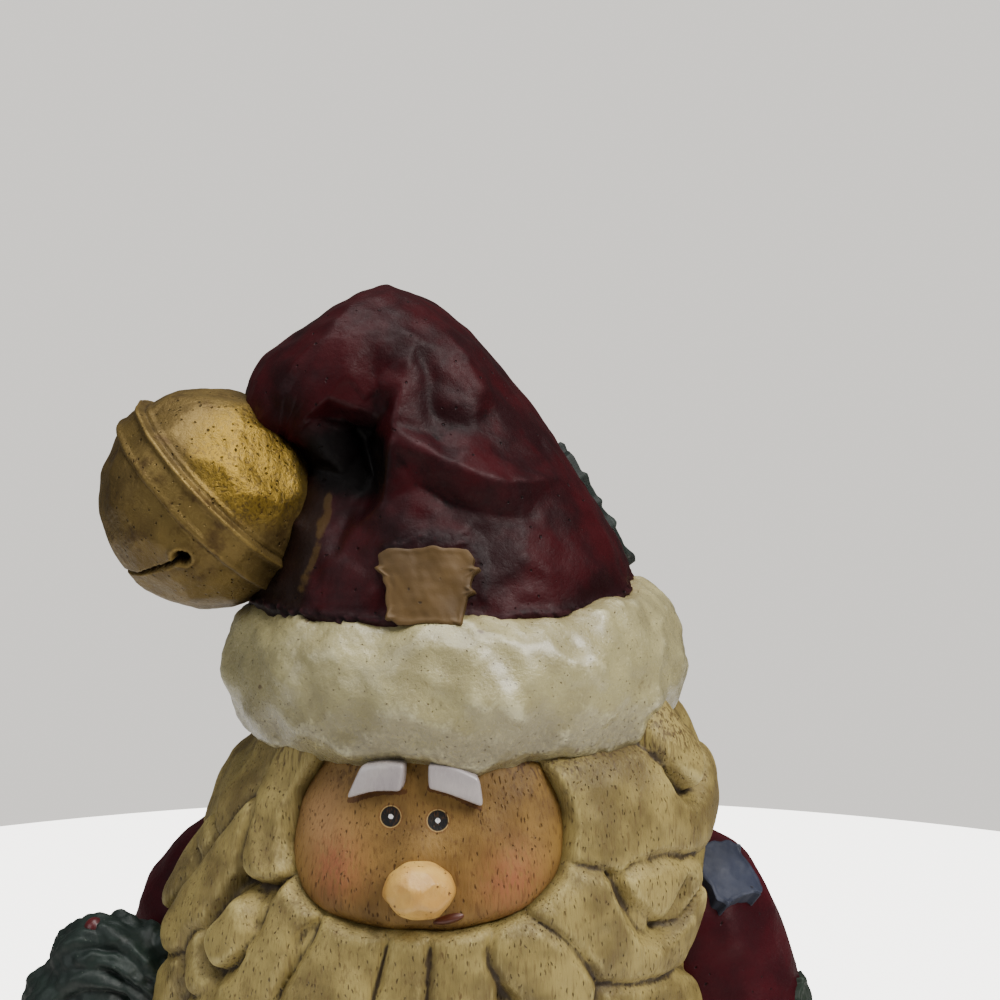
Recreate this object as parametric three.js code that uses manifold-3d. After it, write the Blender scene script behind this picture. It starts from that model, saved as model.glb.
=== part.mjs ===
// Santa figurine, cast in one piece of resin and painted: a bearded figure in a long coat, with a
// floppy hat that ends in a big round bell and an evergreen wreath held at one arm.
// Millimetres, +Z up, front facing -Y, +X to the viewer's right. The origin is the middle of the
// flat underside.
import * as THREE from 'three';
import { mergeVertices } from 'three/addons/utils/BufferGeometryUtils.js';
import Module from 'manifold-3d';

const wasm = await Module();
wasm.setup();

// Driving dimensions
const BASE_HALF_WIDTH = 56;
const BASE_HALF_DEPTH = 46;
const BASE_HEIGHT = 7;
const HEM_Z = 17;
const BRIM_CENTRE = [1.35, -1.5, 159.3];
const BRIM_OUTER_RADIUS = 35.5;
const BRIM_HALF_HEIGHT = 11;
const BRIM_HALF_THICKNESS = 7.5;
const BRIM_ROLL = THREE.MathUtils.degToRad(0.6);
const BELL_CENTRE = new THREE.Vector3(-34.5, -9, 184);
const BELL_RADIUS = 16.2;
const BELL_AXIS = new THREE.Vector3(0.72, 0.05, 0.69).normalize();
const BELL_HOLE = new THREE.Vector3(-0.04, -0.92, -0.39).normalize();
const SLIT_TURN = THREE.MathUtils.degToRad(-8);
const SLIT_LENGTH = THREE.MathUtils.degToRad(110);
const WREATH_CENTRE = [-41.5, -13, 96.5];
const WREATH_RADIUS = 17.2;
const WREATH_TUBE = 8.4;
const NOSE_CENTRE = [0, -38.2, 134.6];
const NOSE_SIZE = [4.8, 4.6, 3.8];
const GROOVE_FLOOR = 1;
const LOCK_SPREAD = 1.28;
const HEAD_COLUMNS = 70;
const HEAD_ROWS = 34;

// Helpers

// A smooth curve through [position, value] knots, with slopes that never overshoot.
function profile(knots) {
	const count = knots.length;
	const slope = (i) => (knots[i + 1][1] - knots[i][1]) / (knots[i + 1][0] - knots[i][0]);
	const tangents = knots.map((_, i) => {
		if (i === 0) return slope(0);
		if (i === count - 1) return slope(count - 2);
		const before = slope(i - 1);
		const after = slope(i);
		return before * after <= 0 ? 0 : (2 * before * after) / (before + after);
	});
	return (position) => {
		if (position <= knots[0][0]) return knots[0][1];
		if (position >= knots[count - 1][0]) return knots[count - 1][1];
		const i = knots.findIndex((knot) => knot[0] > position) - 1;
		const span = knots[i + 1][0] - knots[i][0];
		const t = (position - knots[i][0]) / span;
		const rise = t * t * (3 - 2 * t);
		const start = t * (1 - t) * (1 - t) * span;
		const end = t * t * (t - 1) * span;
		const slopes = start * tangents[i] + end * tangents[i + 1];
		return knots[i][1] + (knots[i + 1][1] - knots[i][1]) * rise + slopes;
	};
}

function indexed(points, faces) {
	const geometry = new THREE.BufferGeometry();
	geometry.setAttribute('position', new THREE.Float32BufferAttribute(points.flat(), 3));
	geometry.setIndex(faces);
	return geometry;
}

// Two triangles for a four-sided cell, split along its shorter diagonal.
function cell(points, faces, a, b, c, d) {
	const span = (i, j) => Math.hypot(...points[i].map((value, axis) => value - points[j][axis]));
	if (span(a, c) <= span(b, d)) faces.push(a, b, c, a, c, d);
	else faces.push(a, b, d, b, c, d);
}

// A closed form wrapped around a line: rows of points from one pole to the other.
function wrapped(rows, sides, pointAt) {
	const points = [pointAt(0, 0)];
	for (let row = 1; row < rows; row++) {
		for (let side = 0; side < sides; side++) points.push(pointAt(row / rows, side / sides));
	}
	points.push(pointAt(1, 0));
	const faces = [];
	const at = (row, side) => 1 + (row - 1) * sides + (side % sides);
	for (let side = 0; side < sides; side++) {
		faces.push(0, at(1, side), at(1, side + 1));
		for (let row = 1; row < rows - 1; row++) {
			cell(points, faces, at(row, side), at(row + 1, side), at(row + 1, side + 1), at(row, side + 1));
		}
		faces.push(at(rows - 1, side), points.length - 1, at(rows - 1, side + 1));
	}
	return indexed(points, faces);
}

// A closed ring: a section of some sides carried around a loop.
function ring(around, sides, pointAt) {
	const points = [];
	for (let i = 0; i < around; i++) {
		for (let j = 0; j < sides; j++) points.push(pointAt(i / around, j / sides));
	}
	const faces = [];
	const at = (i, j) => (i % around) * sides + (j % sides);
	for (let i = 0; i < around; i++) {
		for (let j = 0; j < sides; j++) {
			cell(points, faces, at(i, j), at(i + 1, j), at(i + 1, j + 1), at(i, j + 1));
		}
	}
	return indexed(points, faces);
}

// A merged closed geometry as a solid, turned so that its faces point out.
function solid(geometry) {
	const bare = geometry.index ? geometry.clone() : geometry;
	bare.deleteAttribute('normal');
	bare.deleteAttribute('uv');
	const merged = mergeVertices(bare, 1e-4);
	const points = merged.attributes.position.array;
	const faces = Uint32Array.from(merged.index.array);
	const corner = (i) => new THREE.Vector3().fromArray(points, 3 * faces[i]);
	let volume = 0;
	for (let i = 0; i < faces.length; i += 3) volume += corner(i).dot(corner(i + 1).cross(corner(i + 2)));
	if (volume < 0) faces.reverse();
	return new wasm.Manifold(new wasm.Mesh({ numProp: 3, vertProperties: points, triVerts: faces }));
}

function ellipsoid(centre, size, rows = 8, sides = 12) {
	return wrapped(rows, sides, (u, v) => {
		const down = Math.PI * u;
		const turn = 2 * Math.PI * v;
		return [
			centre[0] + size[0] * Math.sin(down) * Math.cos(turn),
			centre[1] + size[1] * Math.sin(down) * Math.sin(turn),
			centre[2] + size[2] * Math.cos(down),
		];
	});
}

// A limb: round sections along a smooth path of points, with a radius at each point.
function limb(path, radii, rows = 10, sides = 10) {
	const curve = new THREE.CatmullRomCurve3(path.map((point) => new THREE.Vector3(...point)));
	const radiusAt = profile(radii.map((radius, i) => [i / (radii.length - 1), radius]));
	return wrapped(rows, sides, (u, v) => {
		const along = Math.min(Math.max((u - 0.08) / 0.84, 0), 1);
		const cap = u === 0 || u === 1 ? 0 : 1;
		const centre = curve.getPoint(along);
		const ahead = curve.getTangent(along);
		const out = new THREE.Vector3(0, -1, 0.3).cross(ahead).normalize();
		const over = ahead.clone().cross(out);
		const reach = radiusAt(along);
		const overshoot = cap ? 0 : (u - 0.5) * reach;
		return centre
			.addScaledVector(out, cap * reach * Math.cos(2 * Math.PI * v))
			.addScaledVector(over, cap * reach * Math.sin(2 * Math.PI * v))
			.addScaledVector(ahead, overshoot)
			.toArray();
	});
}

// Head, hair and beard: an upright form whose radius depends on the direction and the height

const headFront = profile([
	[60, 12], [66, 26], [72, 34], [80, 38], [90, 39], [102, 38.5], [115, 37], [127, 34.5], [137, 31.5],
	[146, 29.5], [157, 27], [170, 17],
]);
const headSide = profile([
	[60, 3], [68, 11], [76, 19], [86, 29], [95, 36], [104, 39.5], [120, 38.5], [135, 36.5], [142, 35.5],
	[150, 32], [157, 27], [170, 17],
]);
const headBack = profile([
	[60, 2], [95, 8], [105, 16], [115, 24], [122, 28.5], [132, 31.5], [142, 32], [150, 30], [157, 27],
	[170, 17],
]);
const headShift = profile([[60, -2], [104, -4], [115, -3.2], [137, 1], [157, 1.5]]);
// The hair to the wreath's side goes in further below the brim.
const leftTrim = profile([[128, 0], [136, 0.8], [142, 2.6], [147, 5], [151, 5], [157, 0.5], [160, 0]]);

function headRadius(turn, z) {
	const side = Math.sin(turn) / (headSide(z) - (Math.sin(turn) < 0 ? leftTrim(z) : 0));
	const along = Math.cos(turn) / (Math.cos(turn) > 0 ? headFront(z) : headBack(z));
	return 1 / Math.hypot(side, along);
}

// The point that stands out by some height from the bare head, at a direction in degrees.
function onHead(degrees, z, height = 0) {
	const turn = THREE.MathUtils.degToRad(degrees);
	const reach = headRadius(turn, z) + height;
	return [headShift(z) + reach * Math.sin(turn), -reach * Math.cos(turn), z];
}

// A lock of hair: a rounded pillow along a stroke of [degrees, z, half width] knots.
const DEGREE_MM = 0.68;
const STROKE_SAMPLES = 14;
function lock(height, knots) {
	const places = knots.map(([degrees, z, width]) => new THREE.Vector3(degrees * DEGREE_MM, z, width));
	const samples = new THREE.CatmullRomCurve3(places).getPoints(STROKE_SAMPLES);
	return { height, samples };
}

// How high a lock stands at a place: a half ellipse across the stroke, nothing beyond its width.
function lockHeight({ height, samples }, across, z) {
	let best = Infinity;
	for (let i = 1; i < samples.length; i++) {
		const from = samples[i - 1];
		const to = samples[i];
		const length = (to.x - from.x) ** 2 + (to.y - from.y) ** 2;
		const along = ((across - from.x) * (to.x - from.x) + (z - from.y) * (to.y - from.y)) / length;
		const t = Math.min(Math.max(along, 0), 1);
		const gap = Math.hypot(across - from.x - t * (to.x - from.x), z - from.y - t * (to.y - from.y));
		best = Math.min(best, gap / (LOCK_SPREAD * (from.z + t * (to.z - from.z))));
	}
	return best < 1 ? GROOVE_FLOOR + (height - GROOVE_FLOOR) * Math.sqrt(1 - best * best) : GROOVE_FLOOR;
}

const sideLocks = [
	lock(5, [[33, 142.5, 6.2], [45, 141.5, 7.2], [60, 140.5, 7.2], [74, 140, 6.4], [86, 141, 5]]),
	lock(6.4, [[61, 152, 4.8], [64.5, 147.6, 4.2]]),
	lock(5, [
		[30, 132.5, 4], [38, 128.8, 5.4], [46, 123.8, 5], [56, 120.6, 3.6], [65, 120.8, 3.2], [71, 125, 2.6],
	]),
	lock(5.4, [[49, 132, 3.4], [56, 131, 4.4], [62, 129, 4.2], [68, 130, 3.6]]),
	lock(4.8, [[44, 114.5, 4.4], [58, 112, 5], [72, 107.5, 5], [86, 104, 4.4]]),
	lock(2.6, [[84, 127, 3.6], [88, 120, 4], [92, 112, 4]]),
	lock(4.4, [[-54.5, 152, 4.4], [-56, 145.5, 4.6], [-59, 140, 3.8]]),
	lock(5.4, [[-40, 152, 4.4], [-41, 144.5, 4.8], [-39.5, 137.8, 5.2]]),
	lock(5.2, [[-48, 141, 1.8], [-52, 135, 3.3], [-56, 128.5, 3.9], [-60.5, 121.8, 3.9]]),
	lock(4.4, [[-66, 134.5, 2.6], [-70, 129.5, 3.2], [-74.5, 124.5, 2.6]]),
	lock(5.6, [[-39.4, 127.8, 3], [-42, 123.2, 3.5]]),
	lock(4.6, [[-30, 130.5, 3.4], [-28.5, 126, 4], [-32, 120.5, 4.2], [-38, 114.5, 4.2], [-45, 110, 4]]),
	lock(4.3, [[-53, 121.5, 1.8], [-48, 117, 2.4], [-43, 115.6, 2.6]]),
	lock(4.4, [[-57, 116.5, 2.6], [-61, 112, 3.2], [-66, 105, 3.6], [-68, 98, 3.2]]),
	lock(4.2, [[-75, 113, 3.2], [-80, 105, 3.4], [-82, 98, 2.8]]),
];

// The beard's strands run down from the face in waves that end in curled tips.
const beardLocks = [
	lock(4.6, [[-13, 128, 4.6], [-14.5, 121, 5.6], [-16.5, 110, 5], [-18, 98, 4.4]]),
	lock(4.6, [[-1.6, 129, 2.5], [0.2, 119.5, 3.3], [0.5, 104, 3.8], [-1, 88, 3.4]]),
	lock(4.6, [[8.8, 129, 3.7], [12, 119.5, 4.1], [13, 106, 4.2], [11, 94, 3.8]]),
	lock(5.2, [[21, 126, 3.4], [29, 122.6, 4.4], [34, 117, 4.4], [37, 109, 3.8]]),
	lock(4.6, [[24, 110, 4.6], [27, 100, 5], [22, 90, 4.4], [15, 83, 3.2]]),
	lock(4.6, [[44, 104, 4.6], [46, 94, 4.6], [36, 84, 3.6], [23, 78, 2.8]]),
	lock(4.4, [[64, 100, 4.4], [67, 93, 4.2], [57, 85, 3.4]]),
	lock(4.6, [[-32, 107, 4.8], [-33, 97, 5], [-26, 88, 4.4], [-18, 82, 3.2]]),
	lock(4.6, [[-50, 104, 4.4], [-52, 94, 4.4], [-42, 84, 3.4], [-30, 79, 2.8]]),
	lock(4.2, [[-66, 98, 3.6], [-67, 92, 3.6], [-58, 86, 3]]),
	lock(4.6, [[-10, 90, 4.4], [-12, 82, 4], [-6, 74, 3.2]]),
	lock(5, [[6, 88, 4.6], [6, 79, 4.2], [1, 71, 3]]),
];

// The hair at the back hangs in plain waved strands.
const BACK_STRANDS = 7;
const backLocks = [];
for (let i = 0; i < BACK_STRANDS; i++) {
	const sway = i % 2 === 0 ? 4 : -4;
	for (const whole of [0, 360]) {
		const middle = 103 + (i * 154) / (BACK_STRANDS - 1) - whole;
		backLocks.push(lock(3.8, [[middle, 150, 5.4], [middle + sway, 138, 6.4], [middle - sway, 122, 5.2]]));
	}
}

const allLocks = [...sideLocks, ...beardLocks, ...backLocks];

// The face is a broad low pillow between the hair and the brim, a rounded box in outline.
const FACE = { degrees: -2.2, z: 141.3, halfWidth: 24.5, halfHeight: 13.6, rise: 4.6, square: 2.4 };
function faceHeight(degrees, z) {
	const across = Math.abs((degrees - FACE.degrees) * DEGREE_MM) / FACE.halfWidth;
	const up = Math.abs(z - FACE.z) / FACE.halfHeight;
	const out = (across ** FACE.square + up ** FACE.square) ** (1 / FACE.square);
	return out < 1 ? FACE.rise * Math.sqrt(1 - out ** 3) : GROOVE_FLOOR;
}

function headPoint(degrees, z) {
	const bare = faceHeight(degrees, z);
	if (bare > 0.35 * FACE.rise) return onHead(degrees, z, bare);
	const heights = allLocks.map((each) => lockHeight(each, degrees * DEGREE_MM, z));
	return onHead(degrees, z, Math.max(bare, ...heights));
}

// An eyebrow: a raised bar between a lower and an upper line of [degrees, z] knots.
const BROW_LIFT = 4.6;
const BROW_RISE = 1.5;
function brow(lower, upper) {
	const under = new THREE.CatmullRomCurve3(lower.map(([degrees, z]) => new THREE.Vector3(degrees, z, 0)));
	const over = new THREE.CatmullRomCurve3(upper.map(([degrees, z]) => new THREE.Vector3(degrees, z, 0)));
	return wrapped(6, 6, (u, v) => {
		const share = u === 0 || u === 1 ? 0.5 : 0.5 + 0.5 * Math.sin(2 * Math.PI * v);
		const place = under.getPoint(u).lerp(over.getPoint(u), share);
		const height = u === 0 || u === 1 ? 0 : BROW_RISE * Math.cos(2 * Math.PI * v);
		return onHead(place.x, place.y, BROW_LIFT + height);
	});
}
const leftBrow = brow(
	[[-6.5, 147.3], [-13, 147], [-20, 145.6]],
	[[-6.2, 151], [-11.5, 151], [-17, 150.4]],
);
const rightBrow = brow(
	[[-0.6, 147.9], [4.4, 147.1], [12.2, 145.3]],
	[[-0.9, 151.2], [4.5, 151], [11.2, 149.4]],
);

// Directions round the head, closer together at the front than at the back.
const frontHalf = profile([[0, 0], [0.37, 98], [0.5, 180]]);
const HEAD_LOW = 64;
const HEAD_HIGH = 166;

function head() {
	const core = wrapped(HEAD_ROWS, HEAD_COLUMNS, (u, v) => {
		const z = HEAD_LOW + (HEAD_HIGH - HEAD_LOW) * u;
		if (u === 0 || u === 1) return [headShift(z), u === 0 ? -12 : 0, z];
		return headPoint(v <= 0.5 ? frontHalf(v) : -frontHalf(1 - v), z);
	});
	const nose = ellipsoid(NOSE_CENTRE, NOSE_SIZE, 7, 12);
	return wasm.Manifold.union([core, nose, leftBrow, rightBrow].map(solid));
}

// Hat: a bag that leans over and flops down to the bell, lofted between its two outlines

const hatRight = new THREE.CatmullRomCurve3([
	[29.6, 158], [28.6, 165], [26.7, 174.6], [22.3, 182.6], [18.2, 189], [14, 195.2], [7.6, 203.2],
	[1.6, 209.6], [-4, 213.4], [-10, 214.9], [-15.5, 212.6], [-21.5, 208.7], [-27, 204.6], [-29.8, 199.5],
	[-31.5, 193],
].map(([x, z]) => new THREE.Vector3(x, 0, z)));
const hatLeft = new THREE.CatmullRomCurve3([
	[-28.5, 158], [-29.6, 163], [-30, 168], [-29.4, 172], [-28, 176], [-27, 180], [-25.8, 184],
	[-24.8, 187.5], [-24, 189.6], [-24.2, 190.6], [-24.8, 190.6], [-25.4, 189.6], [-26, 188], [-26.6, 186],
	[-27, 184],
].map(([x, z]) => new THREE.Vector3(x, 0, z)));
const hatHalfDepth = profile([
	[0, 29.5], [0.15, 27.5], [0.3, 23.5], [0.45, 19], [0.6, 16], [0.75, 13.5], [0.88, 11], [1, 8],
]);
const hatLean = profile([[0, -1.5], [0.5, -1.5], [0.75, -3], [1, -0.5]]);

// Heights of the hat's front over the plain bag, as [x, z, height]: ridges and shelves stand proud,
// the hollow under the flop sinks in.
const hatFrontPlaces = [
	[-6.5, 214.3, 0.4], [-2.8, 210.8, 1], [0.1, 208.4, 1.8], [1.9, 205.2, 2.8], [-3.6, 207.2, 1.6],
	[-4.6, 201.7, 1.2], [-5.5, 196.2, 1], [-0.8, 202.3, 0], [0.1, 198.1, -0.6], [2.9, 196, -0.9],
	[5.6, 195.9, 0], [5.6, 200, 2.4], [8.7, 199, 0.6], [11.7, 194.7, 0.5], [3.1, 208.8, 0.3],
	[-5.7, 193.4, 1.2], [-1, 192.5, 2], [3.2, 190, 3], [6, 188.5, 3.2], [9.5, 187.4, 3], [13.5, 187.5, 2.6],
	[16.8, 187.5, 1.8], [19.6, 184.4, 1.6], [21.9, 180.8, 1.2], [24, 176.6, 0.8], [0.9, 194.6, -0.6],
	[9.2, 192.3, 0.4], [14.6, 190.4, 0.5], [-1.5, 188.7, -0.8], [2.8, 186, -0.8], [6.9, 184.3, 0],
	[12.4, 183.6, 0.4], [17.9, 181, 0.6], [-13.2, 194, -7], [-11.3, 189.9, -7], [-14.8, 196.7, -5],
	[-10.1, 196.1, -5.5], [-7.9, 192.7, -3.5], [-14.5, 185.6, -4.5], [-16.5, 189.6, -5],
	[-11.3, 183.1, -2.5], [-14.1, 177.4, -0.8], [-7.1, 186, -1], [-21.1, 193.5, 1], [-18.2, 196.8, 1.5],
	[-14.6, 199.8, 1.5], [-11.8, 203.4, 1.2], [-9.7, 207.2, 1], [-19.8, 203.5, 1], [-15.5, 207.8, 1],
	[-24.5, 199, 0.5], [-11, 210.9, 0.5], [-8.2, 202.4, -0.6], [-7.8, 197.9, -2.6], [0.4, 178.1, 0.6],
	[-4, 182, 0], [4.3, 182, 0], [8.1, 179.9, -0.6], [9, 174.7, -0.4], [12.7, 177.7, 0.8], [18.2, 173.9, 0],
	[-6.5, 174, 0], [-13.9, 172.8, 0], [2, 172.9, 0.4], [23.6, 172.9, 0.2],
];
const hatBackPlaces = [
	[0, 205, 1.2], [-6, 196, -1.4], [4, 196, 1.4], [-10, 186, 1.6], [0, 186, -1.2], [10, 187, 1.6],
	[16, 180, 0.4], [-16, 178, 0.2], [-4, 177, 1.2], [6, 175, -0.8], [14, 172, 1], [22, 174, 0.4],
	[-12, 200, 1.2], [-20, 170, 0.8], [-18, 205, 0.4], [-24, 198, 1],
];

// The mean height of the places near a point, and nothing away from them all.
const RELIEF_REACH = 2.8;
const RELIEF_FADE = 0.12;
function relief(places, x, z) {
	let weights = RELIEF_FADE;
	let heights = 0;
	for (const [px, pz, height] of places) {
		const weight = Math.exp(-(((x - px) ** 2 + (z - pz) ** 2) / RELIEF_REACH ** 2));
		weights += weight;
		heights += weight * height;
	}
	return heights / weights;
}

function hat() {
	return wrapped(18, 28, (u, v) => {
		const outer = hatRight.getPoint(u);
		const inner = hatLeft.getPoint(u);
		const turn = 2 * Math.PI * v;
		const pole = u === 0 || u === 1 ? 0 : 1;
		const across = pole * Math.cos(turn);
		const x = (outer.x + inner.x) / 2 + ((outer.x - inner.x) / 2) * across;
		const z = (outer.z + inner.z) / 2 + ((outer.z - inner.z) / 2) * across;
		const out = Math.sin(turn);
		const height = relief(out < 0 ? hatFrontPlaces : hatBackPlaces, x, z);
		const lifted = hatHalfDepth(u) * out + height * Math.sign(out) * Math.abs(out) ** 0.6;
		return [x, hatLean(u) + pole * lifted, z];
	});
}

function brim() {
	return ring(36, 9, (u, v) => {
		const turn = 2 * Math.PI * u;
		const section = 2 * Math.PI * v;
		const middle = BRIM_OUTER_RADIUS - BRIM_HALF_THICKNESS;
		const lump = 0.5 * Math.sin(5 * turn + 1) + 0.35 * Math.sin(9 * turn);
		const round = (value, power) => Math.sign(value) * Math.abs(value) ** power;
		const power = Math.sin(section) > 0 ? 1 : 0.85;
		const out = middle + (BRIM_HALF_THICKNESS + lump * 0.5) * round(Math.cos(section), power);
		const up = (BRIM_HALF_HEIGHT + lump) * round(Math.sin(section), power);
		const x = out * Math.sin(turn);
		const y = -out * Math.cos(turn);
		const rise = up + x * Math.tan(BRIM_ROLL);
		return [BRIM_CENTRE[0] + x, BRIM_CENTRE[1] + y, BRIM_CENTRE[2] + rise];
	});
}

// Bell: a round crotal with a raised band at its middle and a slit that ends in round holes

const BAND_LOW = -2;
const BAND_HIGH = 2.8;
const BAND_RISE = 1.3;

function bell() {
	const rim = Math.asin(BAND_HIGH / BELL_RADIUS);
	const low = Math.asin(BAND_LOW / BELL_RADIUS);
	const degrees = [-90, -65, -45, -28, low / THREE.MathUtils.DEG2RAD - 1];
	const rows = degrees.map((angle) => [angle * THREE.MathUtils.DEG2RAD, BELL_RADIUS]);
	const crest = BELL_RADIUS + BAND_RISE;
	rows.push([low, crest], [(low + rim) / 2, BELL_RADIUS + 0.6], [rim, crest]);
	rows.push(...[12.5, 30, 50, 70, 90].map((angle) => [angle * THREE.MathUtils.DEG2RAD, BELL_RADIUS]));
	const turnTo = new THREE.Quaternion().setFromUnitVectors(new THREE.Vector3(0, 0, 1), BELL_AXIS);
	const body = wrapped(rows.length - 1, 18, (u, v) => {
		const [rise, reach] = rows[Math.round(u * (rows.length - 1))];
		const turn = 2 * Math.PI * v;
		const flat = reach * Math.cos(rise);
		const point = new THREE.Vector3(flat * Math.cos(turn), flat * Math.sin(turn), reach * Math.sin(rise));
		return point.applyQuaternion(turnTo).add(BELL_CENTRE).toArray();
	});
	return solid(body).subtract(slit());
}

// The slit runs from the front hole towards the bell's lower pole and on to a second hole.
function slit() {
	const depth = 2.4;
	const sideways = BELL_AXIS.clone().cross(BELL_HOLE).normalize().applyAxisAngle(BELL_HOLE, SLIT_TURN);
	const along = sideways.clone().cross(BELL_HOLE);
	if (along.dot(BELL_AXIS) > 0) along.negate();
	const arc = new THREE.Shape();
	arc.absarc(0, 0, BELL_RADIUS + 1, 0, SLIT_LENGTH, false);
	arc.absarc(0, 0, BELL_RADIUS - depth, SLIT_LENGTH, 0, true);
	const cut = new THREE.ExtrudeGeometry(arc, { depth: 1, bevelEnabled: false, curveSegments: 5 });
	cut.translate(0, 0, -0.5);
	const basis = new THREE.Matrix4().makeBasis(BELL_HOLE, along, BELL_HOLE.clone().cross(along));
	cut.applyMatrix4(basis.setPosition(BELL_CENTRE));
	const holes = [0, SLIT_LENGTH].map((angle) => {
		const way = BELL_HOLE.clone().multiplyScalar(Math.cos(angle)).addScaledVector(along, Math.sin(angle));
		const hole = new THREE.CylinderGeometry(1.5, 1.5, 4, 7);
		hole.applyQuaternion(new THREE.Quaternion().setFromUnitVectors(new THREE.Vector3(0, 1, 0), way));
		return hole.translate(...way.multiplyScalar(BELL_RADIUS).add(BELL_CENTRE).toArray());
	});
	return wasm.Manifold.union([cut, ...holes].map(solid));
}

// Coat, with soft folds that grow towards the hem

const coatHalfWidth = profile([
	[10, 46], [30, 50], [55, 49], [80, 47], [100, 43], [115, 37], [126, 25], [134, 8],
]);
const coatHalfDepth = profile([
	[10, 36], [30, 40], [55, 40.5], [80, 38.5], [100, 34.5], [115, 29], [126, 20], [134, 6],
]);

function coatPoint(turn, z, height = 0) {
	const fade = Math.min(1, Math.max(0, (105 - z) / 70));
	const fold = fade * (1.5 * Math.sin(9 * turn + 0.5 + z * 0.012) + 0.7 * Math.sin(16 * turn + 2));
	const side = Math.sin(turn) / coatHalfWidth(z);
	const along = Math.cos(turn) / coatHalfDepth(z);
	const reach = 1 / Math.hypot(side, along) + fold + height;
	return [reach * Math.sin(turn), -reach * Math.cos(turn), z];
}

function coat() {
	return wrapped(10, 32, (u, v) => {
		const z = 9 + 125 * u;
		return u === 0 || u === 1 ? [0, 0, z] : coatPoint(2 * Math.PI * v, z);
	});
}

// A band of fur around the hem and a strip of it down the front.
function hemFur() {
	return ring(32, 6, (u, v) => {
		const section = 2 * Math.PI * v;
		const turn = 2 * Math.PI * u;
		const height = 1.8 + 3.4 * Math.cos(section) + 0.5 * Math.sin(11 * turn);
		return coatPoint(turn, HEM_Z + 7.5 * Math.sin(section), height);
	});
}

function frontFur() {
	return wrapped(9, 8, (u, v) => {
		const z = HEM_Z + (82 - HEM_Z) * u;
		const section = 2 * Math.PI * v;
		const pole = u === 0 || u === 1 ? 0 : 1;
		return coatPoint(pole * 0.19 * Math.cos(section), z, pole * 3.4 * Math.sin(section));
	});
}

// Arms: one hangs with its mitten at the coat, the other bends forward to hold the wreath
const rightArmPath = [[27, 3, 126], [37.2, 3, 117], [43, 2, 100], [47.5, 0, 84], [45.5, -13, 74], [40, -25, 68]];
const rightArm = limb(rightArmPath, [10, 13, 13, 13, 11.5, 10], 9, 10);
const rightCuff = limb([[42.5, -20, 71], [38, -30, 65.5]], [12.3, 12.3], 4, 10);
const rightMitten = ellipsoid([33.5, -36.5, 57], [8.6, 8.2, 11], 6, 10);
const rightThumb = ellipsoid([26.5, -41, 61], [4, 4, 7], 5, 8);
const leftArmPath = [[-28.5, 2, 127], [-36, 3, 117], [-42, 3, 100], [-47, 1, 84], [-46, -8, 74], [-43, -17, 70]];
const leftArm = limb(leftArmPath, [10, 12.8, 13.2, 13, 11.5, 10], 9, 10);
const leftCuff = limb([[-45, -12, 71.5], [-41.5, -22, 69.5]], [12.3, 12.3], 4, 10);
const leftMitten = ellipsoid([-40.5, -26, 74.5], [9, 8.4, 9.4], 6, 10);
const leftThumb = ellipsoid([-48, -28, 79], [4, 4, 7], 5, 8);

// Wreath: a fat ring of evergreen clumps, swollen at its upper left and low where it meets the beard
function onWreath(turn, section, fat) {
	const bump = (middle, width) => {
		const gap = Math.atan2(Math.sin(turn - middle), Math.cos(turn - middle));
		return Math.exp(-((gap / width) ** 2));
	};
	const swell = 1.3 * bump(-0.6, 0.4) - 1.2 * bump(-1.3, 0.4) - 4 * bump(0.05, 0.3);
	const out = WREATH_RADIUS + swell + fat * Math.cos(section);
	return [
		WREATH_CENTRE[0] + out * Math.sin(turn),
		WREATH_CENTRE[1] + 0.9 * fat * Math.sin(section),
		WREATH_CENTRE[2] + out * Math.cos(turn),
	];
}

const WREATH_CLUMPS = 14;
function wreath() {
	return ring(32, 6, (u, v) => {
		const turn = 2 * Math.PI * u;
		const section = 2 * Math.PI * v;
		const clump = Math.abs(Math.sin((WREATH_CLUMPS / 2) * turn + section * 0.5));
		return onWreath(turn, section, WREATH_TUBE * (0.9 + 0.12 * clump));
	});
}

// Berries as [turn, section] on the wreath, half sunk in it.
const BERRY_RADIUS = 1.9;
const BERRIES = [[-0.44, -0.3], [1.9, -1.4], [2.6, -1.2], [2.85, -1.7], [3.6, -1.1], [4.4, -1.4]];
function berries() {
	const size = [BERRY_RADIUS, BERRY_RADIUS, BERRY_RADIUS];
	return BERRIES.map(([turn, section]) => ellipsoid(onWreath(turn, section, WREATH_TUBE * 0.92), size, 4, 6));
}

// Boots under the hem, on a low oval foot of snow
function boot(side) {
	return ellipsoid([side * 19, -34, 9], [12.5, 13, 8.5], 6, 12);
}

const footRows = [[0, 0], [1, 0], [1, BASE_HEIGHT * 0.55], [0.95, BASE_HEIGHT], [0, BASE_HEIGHT + 2]];
function foot() {
	return wrapped(4, 30, (u, v) => {
		const turn = 2 * Math.PI * v;
		const [reach, z] = footRows[Math.round(u * 4)];
		return [reach * BASE_HALF_WIDTH * Math.cos(turn), reach * BASE_HALF_DEPTH * Math.sin(turn), z];
	});
}

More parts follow.
